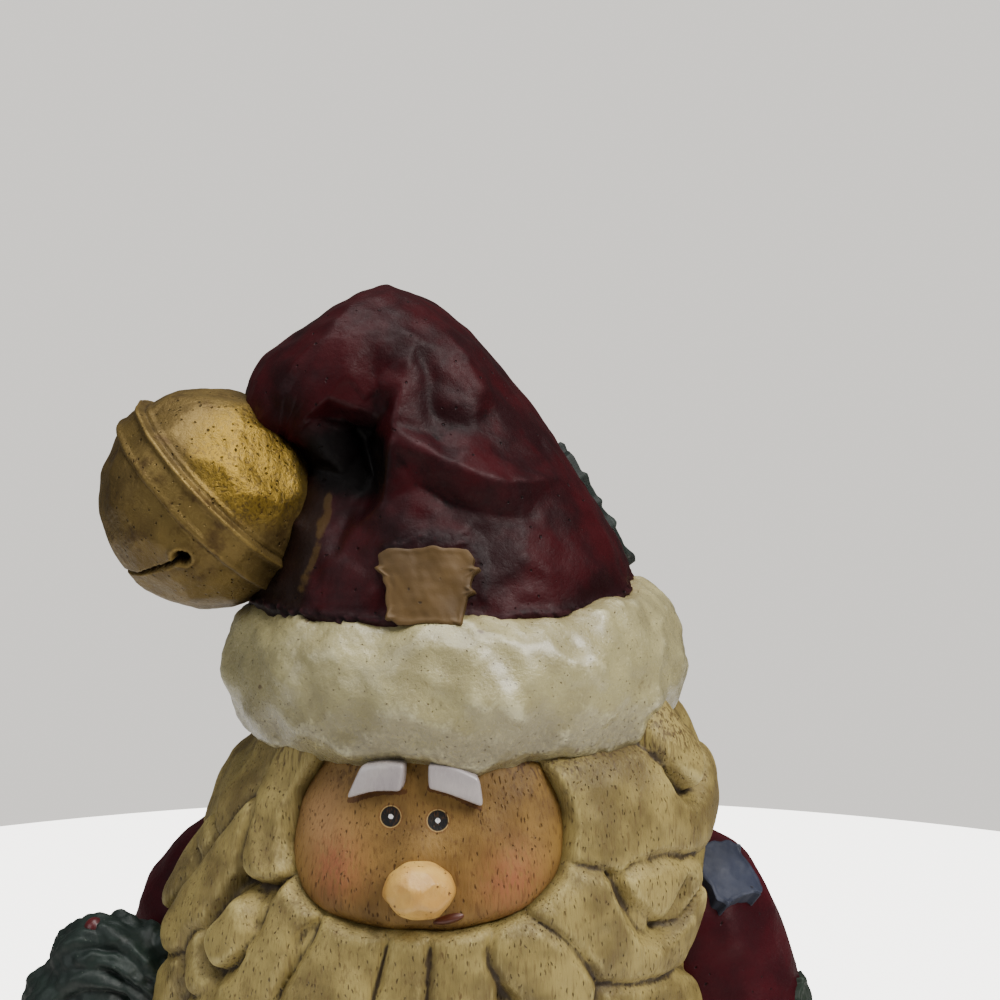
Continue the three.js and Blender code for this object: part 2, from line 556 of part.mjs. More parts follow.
// Patches: ragged pieces of cloth that stand a little proud and bend round what carries them
const PATCH_SIDES = 14;
const PATCH_RISE = 0.9;
function patch(centre, normal, halfWidth, halfHeight, bend) {
	const out = new THREE.Vector3(...normal).normalize();
	const up = new THREE.Vector3(0, 0, 1).addScaledVector(out, -out.z).normalize();
	const right = up.clone().cross(out);
	const middle = new THREE.Vector3(...centre);
	return wrapped(3, PATCH_SIDES, (u, v) => {
		const row = Math.round(u * 3);
		const turn = 2 * Math.PI * v;
		const squared = Math.min(1 / Math.max(Math.abs(Math.cos(turn)), Math.abs(Math.sin(turn))), 1.3);
		const tear = 0.95 + 0.08 * Math.sin(7 * PATCH_SIDES * v + 1);
		const ragged = row === 0 || row === 3 ? 0 : squared * tear;
		const aside = halfWidth * ragged * Math.cos(turn);
		const above = halfHeight * ragged * Math.sin(turn);
		const height = (row < 2 ? PATCH_RISE : -3) - aside ** 2 / (2 * bend);
		const flat = middle.clone().addScaledVector(right, aside).addScaledVector(up, above);
		return flat.addScaledVector(out, height).toArray();
	});
}

const hatPatch = patch([0.4, -29.7, 175], [0, -0.95, 0.3], 6.8, 5.6, 28);
const shoulderPatch = patch([42.5, -4, 126.9], [0.42, -0.5, 0.76], 4.6, 5.1, 13);
const elbowPatch = patch([55.9, 0.9, 102.9], [0.94, -0.1, 0.33], 5, 5.6, 13);
const hatBackPatch = patch([20.6, 8.4, 181.5], [0.76, 0.38, 0.53], 6.5, 9.6, 20);

const figure = wasm.Manifold.union([
	solid(coat()),
	head(),
	solid(hat()),
	solid(brim()),
	bell(),
	...[hemFur(), frontFur(), rightArm, rightCuff, rightMitten, rightThumb].map(solid),
	...[leftArm, leftCuff, leftMitten, leftThumb, wreath(), ...berries()].map(solid),
	...[boot(-1), boot(1), foot(), hatPatch, shoulderPatch, elbowPatch, hatBackPatch].map(solid),
]);

const cast = figure.getMesh();
const geometry = new THREE.BufferGeometry();
geometry.setAttribute('position', new THREE.BufferAttribute(cast.vertProperties, 3));
geometry.setIndex(new THREE.BufferAttribute(cast.triVerts, 1));
geometry.computeVertexNormals();

const paintedResin = new THREE.MeshStandardMaterial({ color: 0x5c2430, roughness: 0.55, metalness: 0 });
const figurine = new THREE.Mesh(geometry, paintedResin);
figurine.name = 'santa_figurine';

const model = new THREE.Group();
model.add(figurine);

export default model;
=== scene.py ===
# %% [markdown]
# # A painted santa figurine
#
# The real object is one casting of resin, about 215 mm tall, carved in a rough folk style and then painted
# by hand: wine red cloth, cream hair, a pearl white brim, an antique gold bell and a dark green wreath. A
# brown wash runs into the hollows, and a dry brush leaves dust on the ridges. Here the wash also paints
# the shade in the hollows, and the dust also paints highlights on the ridges.
# The imported model already has the true outline. It could be rendered as it is, but its flat faces would
# show, so each painted area gets a finer skin here, worked out by the same formulas on a much denser grid.

import bpy
import numpy as np
from mathutils.geometry import delaunay_2d_cdt
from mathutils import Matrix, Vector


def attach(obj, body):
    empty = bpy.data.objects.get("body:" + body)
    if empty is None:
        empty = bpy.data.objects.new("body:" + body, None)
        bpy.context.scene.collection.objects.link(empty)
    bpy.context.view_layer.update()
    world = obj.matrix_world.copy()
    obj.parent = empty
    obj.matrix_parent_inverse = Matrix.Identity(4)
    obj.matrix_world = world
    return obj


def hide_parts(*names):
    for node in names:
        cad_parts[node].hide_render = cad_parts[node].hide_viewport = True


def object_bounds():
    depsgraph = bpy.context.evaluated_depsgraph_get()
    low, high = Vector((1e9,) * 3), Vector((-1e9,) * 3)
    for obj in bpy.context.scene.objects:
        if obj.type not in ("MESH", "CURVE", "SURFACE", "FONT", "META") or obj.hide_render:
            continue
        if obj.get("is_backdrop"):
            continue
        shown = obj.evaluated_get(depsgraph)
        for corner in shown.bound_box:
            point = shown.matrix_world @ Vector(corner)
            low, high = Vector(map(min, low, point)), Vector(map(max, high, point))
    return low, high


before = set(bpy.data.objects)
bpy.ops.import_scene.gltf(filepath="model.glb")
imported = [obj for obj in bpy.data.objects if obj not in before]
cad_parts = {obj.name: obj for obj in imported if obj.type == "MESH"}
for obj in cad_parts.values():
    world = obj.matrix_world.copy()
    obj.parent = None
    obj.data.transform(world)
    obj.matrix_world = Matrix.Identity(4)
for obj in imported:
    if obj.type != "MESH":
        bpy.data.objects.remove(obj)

CAD_BOX = [list(corner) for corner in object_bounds()]
CASTING = "santa_figurine"
print("the casting's box in metres:", CAD_BOX)

# %% [markdown]
# ## Sizes and colours
#
# Every size below is in millimetres, as a maker would measure it, and only the last step turns it into the
# metres that Blender works in. Colours are picked on a screen's 0 to 255 scale. A shader wants linear light
# instead, so one small function changes the scale.

# %% Units and colours
MM = 0.001
SEED = 7


def shade(red, green, blue):
    """A screen colour as linear light: the power 2.4 curve of the sRGB scale, with its straight foot."""
    screen = np.array([red, green, blue]) / 255
    linear = np.where(screen > 0.04045, ((screen + 0.055) / 1.055) ** 2.4, screen / 12.92)
    return (*[float(value) for value in linear], 1.0)


# The brown of the wash, which also paints the shade in the hollows; flecks take it too unless a paint gives
# its own.
WASH_AND_SHADE_BROWN = shade(64, 44, 20)
print("wash brown in linear light:", [round(value, 3) for value in WASH_AND_SHADE_BROWN[:3]])

# %% [markdown]
# ## Curves
#
# The forms are steered by a few knots: how wide the head is at some heights, or where a lock of hair runs.
# Straight lines between knots would show as kinks, and a plain spline swings past them. Two kinds of curve
# are enough here: one for a value that must not overshoot, and one for a line that runs through places.

# %% Smooth values and smooth lines
def profile(knots):
    """A value between (position, value) knots. Each span is a cubic, and its end slopes are the harmonic
    mean of the straight slopes on both sides, or nothing where these change sign. It never overshoots."""
    places, values = np.array(knots, float).T
    runs = np.diff(places)
    slopes = np.diff(values) / runs
    before, after = slopes[:-1], slopes[1:]
    agree = before * after > 0
    inner = np.where(agree, 2 * before * after / np.where(agree, before + after, 1), 0)
    tangents = np.concatenate([slopes[:1], inner, slopes[-1:]])

    def value(at):
        at = np.clip(at, places[0], places[-1])
        i = np.clip(np.searchsorted(places, at, side="right") - 1, 0, len(runs) - 1)
        t = (at - places[i]) / runs[i]
        rise = t * t * (3 - 2 * t)
        bend = t * (1 - t) ** 2 * tangents[i] - t * t * (1 - t) * tangents[i + 1]
        return values[i] + (values[i + 1] - values[i]) * rise + runs[i] * bend

    return value


def line(points):
    """A smooth line through places: a centripetal Catmull-Rom curve. Its parameter runs evenly from knot to
    knot, from 0 to 1. A knot's slope weighs its neighbours by the square roots of their distances."""
    knots = np.array(points, float)
    knots = np.vstack([2 * knots[0] - knots[1], knots, 2 * knots[-1] - knots[-2]])
    gaps = np.sqrt(np.linalg.norm(np.diff(knots, axis=0), axis=1))[:, None]
    slopes = np.diff(knots, axis=0) / gaps
    wide = (knots[2:] - knots[:-2]) / (gaps[:-1] + gaps[1:])
    tangents = slopes[:-1] - wide + slopes[1:]

    def value(at):
        place = np.clip(at, 0, 1) * (len(points) - 1)
        i = np.minimum(place.astype(int), len(points) - 2)
        t = (place - i)[..., None]
        rise = t * t * (3 - 2 * t)
        bend = t * (1 - t) ** 2 * tangents[i] - t * t * (1 - t) * tangents[i + 1]
        return knots[i + 1] + (knots[i + 2] - knots[i + 1]) * rise + gaps[i + 1] * bend

    return value


def step(low, high, value):
    """0 below low, 1 above high, and a smooth S between them; low may be the larger one."""
    t = np.clip((value - low) / (high - low), 0, 1)
    return t * t * (3 - 2 * t)


def hump(gap, width):
    """1 where the gap is nothing, falling as exp(-(gap / width)^2)."""
    return np.exp(-(gap / width) ** 2)


print("halfway between 0, 1 and 3:", float(profile([[0, 0], [1, 1], [2, 3]])(0.5)))

# %% [markdown]
# ## Strokes of a carving tool
#
# Hair, folds and grooves all follow strokes: a line on the surface with a width at each knot. The height of
# a lock, or the depth of a cut, then depends only on how far a place lies from the nearest stroke. Boolean
# cuts could carve them too, but they leave ragged meshes. A height over a grid stays clean.

# %% How near a place is to a stroke
STROKE_SAMPLES = 15


def nearness(across, up, knots, spread=1.0):
    """The distance to a stroke in its own half widths: 0 on its middle line and 1 at its edge. Knots are
    (across, up, half width). Places far outside are left at 9 without any work."""
    stroke = line(knots)(np.linspace(0, 1, STROKE_SAMPLES))
    reach = 1.05 * spread * stroke[:, 2].max()
    low = stroke[:, :2].min(0) - reach
    high = stroke[:, :2].max(0) + reach
    close = (across > low[0]) & (across < high[0]) & (up > low[1]) & (up < high[1])
    x, y = across[close], up[close]
    found = np.full(x.shape, 9.0)
    for start, end in zip(stroke[:-1], stroke[1:]):
        run = end[:2] - start[:2]
        t = np.clip(((x - start[0]) * run[0] + (y - start[1]) * run[1]) / (run @ run), 0, 1)
        gap = np.hypot(x - start[0] - t * run[0], y - start[1] - t * run[1])
        found = np.minimum(found, gap / (spread * (start[2] + t * (end[2] - start[2]))))
    nearest = np.full(across.shape, 9.0)
    nearest[close] = found
    return nearest


# %% [markdown]
# ## Grids that become skins
#
# Each piece is a grid of places. Its columns go round the piece, and its rows run from one end to the
# other, or go round as well, as on a ring. Three things are worked out on every grid: which way it faces,
# how a carver's flat cuts would meet on it, and where it is hollow, because the brown wash gathers there,
# and because the paint there is darkened as painted shade. Blender has an ambient occlusion node for
# hollows, but it is slow and is lost on export. A value stored on the vertices is exact and costs nothing.

# %% Smoothing, facing, carver's facets and hollows
def unit(way):
    """The same direction with length 1."""
    return np.array(way) / np.linalg.norm(way)


def blurred(field, passes, rows_loop=False):
    """The field after some passes, each of which mixes a place half and half with its four neighbours."""
    for _ in range(passes):
        across = np.roll(field, 1, 1) + np.roll(field, -1, 1)
        if rows_loop:
            along = np.roll(field, 1, 0) + np.roll(field, -1, 0)
        else:
            along = np.concatenate([field[:1], field[:-1]]) + np.concatenate([field[1:], field[-1:]])
        field = field / 2 + (across + along) / 8
    return field


def facing(places, rows_loop=False):
    """Unit normals that point out: the cross product of the steps between columns and rows, turned so that
    the flow through the whole grid is outward."""
    across = np.roll(places, -1, 1) - np.roll(places, 1, 1)
    if rows_loop:
        along = np.roll(places, -1, 0) - np.roll(places, 1, 0)
    else:
        along = np.gradient(places, axis=0)
    out = np.cross(across, along)
    if (out * (places - places.mean((0, 1)))).sum() < 0:
        out = -out
    return out / np.maximum(np.linalg.norm(out, axis=-1, keepdims=True), 1e-9)


def faceted(places, rows, columns, random, strength=1.0, rows_loop=False):
    """The form that a knife leaves: each place moves out to the nearest of the planes that touch the
    surface at nearby seeds. Every cell of a coarse grid has a seed, and the nine cells near a place
    count."""
    out = facing(places, rows_loop)
    height, width = places.shape[:2]
    jitter = random.uniform(0.1, 0.9, (2, rows, columns))
    seed_row = ((np.arange(rows)[:, None] + jitter[0]) * height / rows).astype(int)
    seed_column = ((np.arange(columns)[None] + jitter[1]) * width / columns).astype(int)
    touch, lean = places[seed_row, seed_column], out[seed_row, seed_column]
    cell_row = np.arange(height) * rows // height
    cell_column = np.arange(width) * columns // width
    nearest = np.full((height, width), np.inf)
    for down in (-1, 0, 1):
        row = (cell_row + down) % rows if rows_loop else np.clip(cell_row + down, 0, rows - 1)
        for aside in (-1, 0, 1):
            column = (cell_column + aside) % columns
            plane, normal = touch[row][:, column], lean[row][:, column]
            lift = ((plane - places) * normal).sum(-1) / np.maximum((out * normal).sum(-1), 0.5)
            lift = np.where(lift > 0, lift, lift * hump(lift, 0.5))
            nearest = np.minimum(nearest, lift)
    nearest = blurred(np.minimum(nearest, 1.5), 1, rows_loop)
    return places + out * (strength * (nearest - nearest.mean()))[..., None]


def hollows(places, passes, depth, rows_loop=False):
    """How hollow the surface is: 0.5 where it is even, 1 where its surroundings stand higher by depth, and
    0 on a ridge. The surroundings are the blurred grid."""
    lift = ((blurred(places, passes, rows_loop) - places) * facing(places, rows_loop)).sum(-1)
    return np.clip(0.5 + 0.5 * lift / depth, 0, 1)


def lumps(places, size, random, waves=14):
    """Soft bumps of about one size: the sum of sine waves that run in random directions."""
    ways = random.normal(size=(waves, 3))
    lengths = np.linalg.norm(ways, axis=1, keepdims=True)
    ways *= 2 * np.pi / size * random.uniform(0.7, 1.4, (waves, 1)) / lengths
    return np.sin(places @ ways.T + random.uniform(0, 2 * np.pi, waves)).sum(-1) * np.sqrt(2 / waves) / 1.5


def chance(number):
    """A fresh random source for one piece, so that a change to one piece leaves the others alone."""
    return np.random.default_rng([SEED, number])


def roughened(places, size, height, number, rows_loop=False):
    """The form with soft bumps of a size and a height on it."""
    return places + facing(places, rows_loop) * (height * lumps(places, size, chance(number)))[..., None]


flat_grid = np.dstack([*np.meshgrid(np.arange(4.), np.arange(3.)), np.zeros((3, 4))])
print("a flat grid is even:", hollows(flat_grid, 1, 1)[1, 1])

# %% [markdown]
# ## From a grid to a mesh
#
# Blender can take a mesh as Python lists, but with a hundred thousand faces that is slow. foreach_set hands
# over whole numpy arrays. A ring closes by itself. Any other form ends in two single points, one at each
# end, joined to the last rows by a fan of triangles, so that no hole is left. All the pieces together stay
# under a million triangles.

# %% Skin: the mesh of one piece
PIECES = []


def closed_faces(rows, columns, rows_loop):
    """Corner numbers of the four-sided cells between rows, and of the two fans that close the ends."""
    number = np.arange(rows * columns).reshape(rows, columns)
    right = np.roll(number, -1, 1)
    if rows_loop:
        below, below_right = np.roll(number, -1, 0), np.roll(right, -1, 0)
        return np.stack([number, below, below_right, right], -1).reshape(-1, 4), np.zeros((0, 3), int)
    cells = np.stack([number[:-1], number[1:], right[1:], right[:-1]], -1).reshape(-1, 4)
    first = np.full(columns, rows * columns)
    fans = [np.stack([first, number[0], right[0]], -1), np.stack([first + 1, right[-1], number[-1]], -1)]
    return cells, np.vstack(fans)


def mesh_of(name, points, cells, fans, values):
    """A smooth mesh in metres from points in millimetres, with its faces turned outward: the volume that
    they enclose, a sixth of the sum of corner x (next x last), has to be positive."""
    a, b, c = points[cells[:, 0]], points[cells[:, 1]], points[cells[:, 2]]
    d = points[cells[:, 3]]
    volume = (a * np.cross(b, c)).sum() + (a * np.cross(c, d)).sum()
    if volume < 0:
        cells, fans = cells[:, ::-1], fans[:, ::-1]
    sizes = np.concatenate([np.full(len(cells), 4), np.full(len(fans), 3)])
    corners = np.concatenate([cells.ravel(), fans.ravel()])
    mesh = bpy.data.meshes.new(name)
    mesh.vertices.add(len(points))
    mesh.vertices.foreach_set("co", (points * MM).astype(np.float32).ravel())
    mesh.loops.add(len(corners))
    mesh.loops.foreach_set("vertex_index", corners.astype(np.int32))
    mesh.polygons.add(len(sizes))
    mesh.polygons.foreach_set("loop_start", (np.cumsum(sizes) - sizes).astype(np.int32))
    mesh.polygons.foreach_set("use_smooth", np.ones(len(sizes), bool))
    mesh.update(calc_edges=True)
    mesh.validate()
    for label, value in values.items():
        layer = mesh.attributes.new(label, "FLOAT", "POINT")
        layer.data.foreach_set("value", np.asarray(value, np.float32).ravel())
    return mesh


def show(name, mesh, material):
    """Places the piece: it rides on the root body, and the casting is hidden, so that the piece stands for
    it.
    """
    piece = bpy.data.objects.new(name, mesh)
    bpy.context.scene.collection.objects.link(piece)
    mesh.materials.append(material)
    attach(piece, "root")
    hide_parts(CASTING)
    PIECES.append(piece)
    triangles = len(mesh.loops) - 2 * len(mesh.polygons)
    print(f"{name}: {triangles} triangles")
    return piece


def skin(name, places, material, rows_loop=False, ends=None, **values):
    """One piece from one grid, or from a list of grids of the same shape that become one piece."""
    grids = places if isinstance(places, list) else [places]
    rows, columns = grids[0].shape[:2]
    cells, fans = closed_faces(rows, columns, rows_loop)
    points, all_cells, all_fans = [], [], []
    each = rows * columns + (0 if rows_loop else 2)
    for i, grid in enumerate(grids):
        points.append(grid.reshape(-1, 3))
        if not rows_loop:
            points.append(np.array(ends) if ends else np.array([grid[0].mean(0), grid[-1].mean(0)]))
        all_cells.append(cells + i * each)
        all_fans.append(fans + i * each)
    for label, value in values.items():
        layers = value if isinstance(value, list) else [value]
        if rows_loop:
            values[label] = np.concatenate([layer.ravel() for layer in layers])
        else:
            closed = [np.append(layer, [layer[0].mean(), layer[-1].mean()]) for layer in layers]
            values[label] = np.concatenate(closed)
    mesh = mesh_of(name, np.vstack(points), np.vstack(all_cells), np.vstack(all_fans), values)
    return show(name, mesh, material)


def grid(rows, columns, loop=False):
    """The two parameters of a grid: u down the rows, inside 0 to 1, and v round the columns."""
    u = np.arange(rows) / rows if loop else (np.arange(rows) + 0.5) / rows
    return np.meshgrid(u, np.arange(columns) / columns, indexing="ij")


# %% [markdown]
# ## Paint, wash and dust
#
# All of the figure's paints share one recipe, in the order in which a painter works: a brushed base of two
# close colours, small flecks and pits, a brown wash that stays in the hollows, and a dry brush over the
# ridges. The wash also paints the shade in the hollows, and the dry brush also paints highlights on the
# ridges. The steps that every paint uses are node groups with named inputs, built once. Each paint then
# sets its own values. The patterns are made from the place on the piece itself, so they stay where they are
# when it is seen from another side.

# %% Node helpers
def put(tree, kind, inputs=None, **settings):
    """Adds a shader node. An input gets a link if it is given a socket, and otherwise its plain value."""
    node = tree.nodes.new("ShaderNode" + kind)
    for label, setting in settings.items():
        setattr(node, label, setting)
    for label, value in (inputs or {}).items():
        if isinstance(value, bpy.types.NodeSocket):
            tree.links.new(value, node.inputs[label])
        else:
            node.inputs[label].default_value = value
    return node


def maths(tree, operation, a, b=0.0):
    """One sum on numbers or sockets."""
    return put(tree, "Math", {0: a, 1: b}, operation=operation).outputs[0]


def fade(tree, value, low, high):
    """0 at low and 1 at high, in a smooth S; low may be the larger one."""
    node = put(tree, "MapRange", {"Value": value}, interpolation_type="SMOOTHSTEP")
    turned = low > high
    node.inputs["From Min"].default_value = min(low, high)
    node.inputs["From Max"].default_value = max(low, high)
    node.inputs["To Min"].default_value = 1.0 if turned else 0.0
    node.inputs["To Max"].default_value = 0.0 if turned else 1.0
    return node.outputs["Result"]


def mixed(tree, amount, a, b):
    """Colour a where amount is 0 and colour b where it is 1."""
    return put(tree, "Mix", {0: amount, 6: a, 7: b}, data_type="RGBA").outputs[2]


def over(tree, colour, mask, amount, tone):
    """The colour with a tone painted over it where the mask is 1, as thick as the amount."""
    return mixed(tree, maths(tree, "MULTIPLY", mask, amount), colour, tone)


def stretched(tree, place, factors):
    """The place times a factor along each axis, for a pattern with small or long cells."""
    return put(tree, "VectorMath", {0: place, 1: factors}, operation="MULTIPLY").outputs[0]


def noise(tree, place, scale, detail, roughness=0.5):
    """Blender's noise, as a number that is mostly near 0.5."""
    inputs = {"Vector": place, "Scale": scale, "Detail": detail, "Roughness": roughness}
    return put(tree, "TexNoise", inputs).outputs["Fac"]


def group(name, inputs, outputs, build):
    """A shader node group. Inputs and outputs map names to socket kinds, and build makes its nodes."""
    tree = bpy.data.node_groups.new(name, "ShaderNodeTree")
    for label, kind in inputs.items():
        tree.interface.new_socket(label, in_out="INPUT", socket_type="NodeSocket" + kind)
    for label, kind in outputs.items():
        tree.interface.new_socket(label, in_out="OUTPUT", socket_type="NodeSocket" + kind)
    start = tree.nodes.new("NodeGroupInput")
    end = tree.nodes.new("NodeGroupOutput")
    for label, socket in build(tree, start.outputs).items():
        tree.links.new(socket, end.inputs[label])
    return tree


def use(tree, recipe, inputs):
    """Places a group in a material with its own values, and returns its outputs."""
    return put(tree, "Group", inputs, node_tree=recipe).outputs


# %% Group: brushwork, the slow and quick changes that a brush leaves
def brushwork_nodes(tree, given):
    slow = noise(tree, given["Place"], 110.0, 3.0, 0.6)
    fine = noise(tree, stretched(tree, given["Place"], given["Grain"]), 1.0, 4.0, 0.65)
    return {"Slow": fade(tree, slow, 0.35, 0.65), "Fine": fine}


BRUSHWORK = group("brushwork", {"Place": "Vector", "Grain": "Vector"}, {"Slow": "Float", "Fine": "Float"},
                  brushwork_nodes)


# %% Group: flecks, small marks in some cells of a scattered pattern
FLECK_BEND = 0.0014  # metres that the place moves by, so that the marks aren't straight


def flecks_nodes(tree, given):
    warp = put(tree, "TexNoise", {"Vector": given["Place"], "Scale": 420.0, "Detail": 2.0})
    bent = stretched(tree, warp.outputs["Color"], 3 * (FLECK_BEND,))
    moved = put(tree, "VectorMath", {0: given["Place"], 1: bent}, operation="ADD").outputs[0]
    cells = put(tree, "TexVoronoi", {"Vector": stretched(tree, moved, given["Cells"]), "Scale": 1.0})
    chosen = put(tree, "SeparateColor", {0: cells.outputs["Color"]})
    kept = maths(tree, "LESS_THAN", chosen.outputs[0], given["Share"])
    edge = maths(tree, "MULTIPLY", given["Size"], 0.45)
    gap = cells.outputs["Distance"]
    near = put(tree, "MapRange", {"Value": gap, "From Min": given["Size"], "From Max": edge})
    return {"Mask": maths(tree, "MULTIPLY", kept, near.outputs["Result"])}


FLECKS = group("flecks", {"Place": "Vector", "Cells": "Vector", "Share": "Float", "Size": "Float"},
               {"Mask": "Float"}, flecks_nodes)


# %% Group: wash and painted shade in the hollows, dust and painted highlights on the ridges
def aging_and_shading_nodes(tree, given):
    wobble = maths(tree, "MULTIPLY", maths(tree, "SUBTRACT", given["Fine"], 0.5), 0.5)
    depth = maths(tree, "ADD", given["Hollow"], wobble)
    # The first share paints wash and shade in the hollows, the second paints dust and highlights on the
    # ridges.
    wash_and_shade_share = maths(tree, "MULTIPLY", fade(tree, depth, 0.56, 0.9), given["Wash_And_Shade Amount"])
    dry = maths(tree, "MULTIPLY", fade(tree, depth, 0.42, 0.08), given["Dust_And_Highlight Amount"])
    washed_and_shaded = mixed(tree, wash_and_shade_share, given["Paint"], given["Wash_And_Shade"])
    return {"Color": mixed(tree, dry, washed_and_shaded, given["Dust_And_Highlight"])}


AGING_AND_SHADING = group("washes and shade, dry brushing and highlights",
              {"Paint": "Color", "Wash_And_Shade": "Color", "Dust_And_Highlight": "Color", "Hollow": "Float", "Fine": "Float",
               "Wash_And_Shade Amount": "Float", "Dust_And_Highlight Amount": "Float"}, {"Color": "Color"}, aging_and_shading_nodes)


# %% The shared recipe of a paint
def attribute(tree, label):
    """A value that numpy stored on the vertices."""
    return put(tree, "Attribute", attribute_name=label).outputs["Fac"]


def bristle_marks(tone, share, more=None):
    """Paints upright marks in a tone: thin lines that a dry brush drew, and ticks in a share of tall cells.
    The ticks stand in patches, where a slow noise is high."""
    def marks(tree, colour, place, fine):
        if more:
            colour = more(tree, colour, place, fine)
        lines = noise(tree, stretched(tree, place, (2600, 2600, 240)), 1.0, 3.0, 0.6)
        colour = over(tree, colour, fade(tree, lines, 0.52, 0.68), 0.5, tone)
        patches = noise(tree, place, 130.0, 2.0)
        tick_cells = {"Place": place, "Cells": (1250, 1250, 330), "Share": share, "Size": 0.22}
        ticks = use(tree, FLECKS, tick_cells)["Mask"]
        ticks = maths(tree, "MULTIPLY", ticks, fade(tree, patches, 0.4, 0.6))
        return over(tree, colour, ticks, 0.85, tone)
    return marks


def paint(name, main, second, wash_and_shade=WASH_AND_SHADE_BROWN, dust_and_highlight=None, wash_and_shade_amount=0.9, dust_and_highlight_amount=0.35,
          rough=(0.45, 0.65), fleck=WASH_AND_SHADE_BROWN, cells=(900, 900, 900), share=0.2, size=0.3,
          grain=(1400, 1400, 500), relief=0.12, coat=0.0, shine=0.5, extra=None):
    """A painted finish: brushed base, flecks, wash and dust, with roughness and a fine relief that follow
    them. The wash also paints shade in the hollows and the dust also paints highlights on the ridges.
    extra(tree, colour, place, fine) may paint more on top of the base, and returns the new colour."""
    material = bpy.data.materials.new(name)
    material.use_nodes = True
    tree = material.node_tree
    surface = tree.nodes["Principled BSDF"]
    place = put(tree, "TexCoord").outputs["Object"]
    brush = use(tree, BRUSHWORK, {"Place": place, "Grain": grain})
    marks = use(tree, FLECKS, {"Place": place, "Cells": cells, "Share": share, "Size": size})["Mask"]
    colour = mixed(tree, brush["Slow"], main, second)
    if extra:
        colour = extra(tree, colour, place, brush["Fine"])
    colour = over(tree, colour, marks, 0.8, fleck)
    colour = use(tree, AGING_AND_SHADING, {
        "Paint": colour, "Wash_And_Shade": wash_and_shade, "Dust_And_Highlight": dust_and_highlight or second, "Hollow": attribute(tree, "hollow"),
        "Fine": brush["Fine"], "Wash_And_Shade Amount": wash_and_shade_amount, "Dust_And_Highlight Amount": dust_and_highlight_amount})["Color"]
    tree.links.new(colour, surface.inputs["Base Color"])
    gloss = put(tree, "MapRange", {"Value": brush["Fine"], "From Min": 0.3, "From Max": 0.7,
                                   "To Min": rough[0], "To Max": rough[1]}).outputs["Result"]
    tree.links.new(gloss, surface.inputs["Roughness"])
    height = maths(tree, "SUBTRACT", maths(tree, "MULTIPLY", brush["Fine"], 0.5), marks)
    bump = put(tree, "Bump", {"Height": height, "Strength": relief, "Distance": 0.0004})
    tree.links.new(bump.outputs["Normal"], surface.inputs["Normal"])
    surface.inputs["Coat Weight"].default_value = coat
    surface.inputs["Coat Roughness"].default_value = 0.25
    surface.inputs["Specular IOR Level"].default_value = shine
    return material


# %% [markdown]
# ## Hair and beard
#
# The hair frames the face in plump locks, and the beard runs down in broad strands. On the real piece each
# lock is a pillow with a deep, narrow crease round it, brown with wash.
# Separate tubes for the locks would leave gaps behind them and cost many faces. Here the whole head is one
# upright surface whose radius depends on the direction and the height, and the locks are strokes on it: a
# pillow is a half ellipse across the stroke, the highest pillow wins, and a crease is cut where two are
# equally high.

# %% The bare head
HEAD_FRONT = profile([[60, 12], [66, 26], [72, 34], [80, 38], [90, 39], [102, 38.5], [115, 37], [127, 34.5],
                      [137, 31.5], [146, 29.5], [157, 27], [170, 17]])
HEAD_SIDE = profile([[60, 3], [68, 10], [76, 17], [86, 25.5], [95, 34.5], [104, 39.5], [120, 38.5],
                     [135, 36.5], [142, 35.5], [150, 32], [157, 27], [170, 17]])
HEAD_BACK = profile([[60, 2], [95, 8], [105, 16], [115, 24], [122, 28.5], [132, 31.5], [142, 32], [150, 30],
                     [157, 27], [170, 17]])
HEAD_SHIFT = profile([[60, -2], [104, -4], [115, -3.2], [137, 1], [157, 1.5]])
LEFT_TRIM = profile([[128, 0], [136, 0.8], [142, 2.6], [147, 5], [151, 5], [157, 0.5], [160, 0]])
HEAD_LOW, HEAD_HIGH = 64, 166


def on_head(degrees, z, height=0.0):
    """The place that stands out by a height from the bare head. Its level outline is an ellipse with its
    own half axes at the front, side and back, and 0 degrees is the front. Under the brim, the left side
    goes in further."""
    turn = np.radians(degrees)
    side = HEAD_SIDE(z) - np.where(np.sin(turn) < 0, LEFT_TRIM(z), 0)
    depth = np.where(np.cos(turn) > 0, HEAD_FRONT(z), HEAD_BACK(z))
    reach = 1 / np.hypot(np.sin(turn) / side, np.cos(turn) / depth) + height
    return np.stack([HEAD_SHIFT(z) + reach * np.sin(turn), -reach * np.cos(turn), z + 0 * reach], -1)


print("front of the bare beard at z 100:", on_head(0.0, 100.0).round(1))

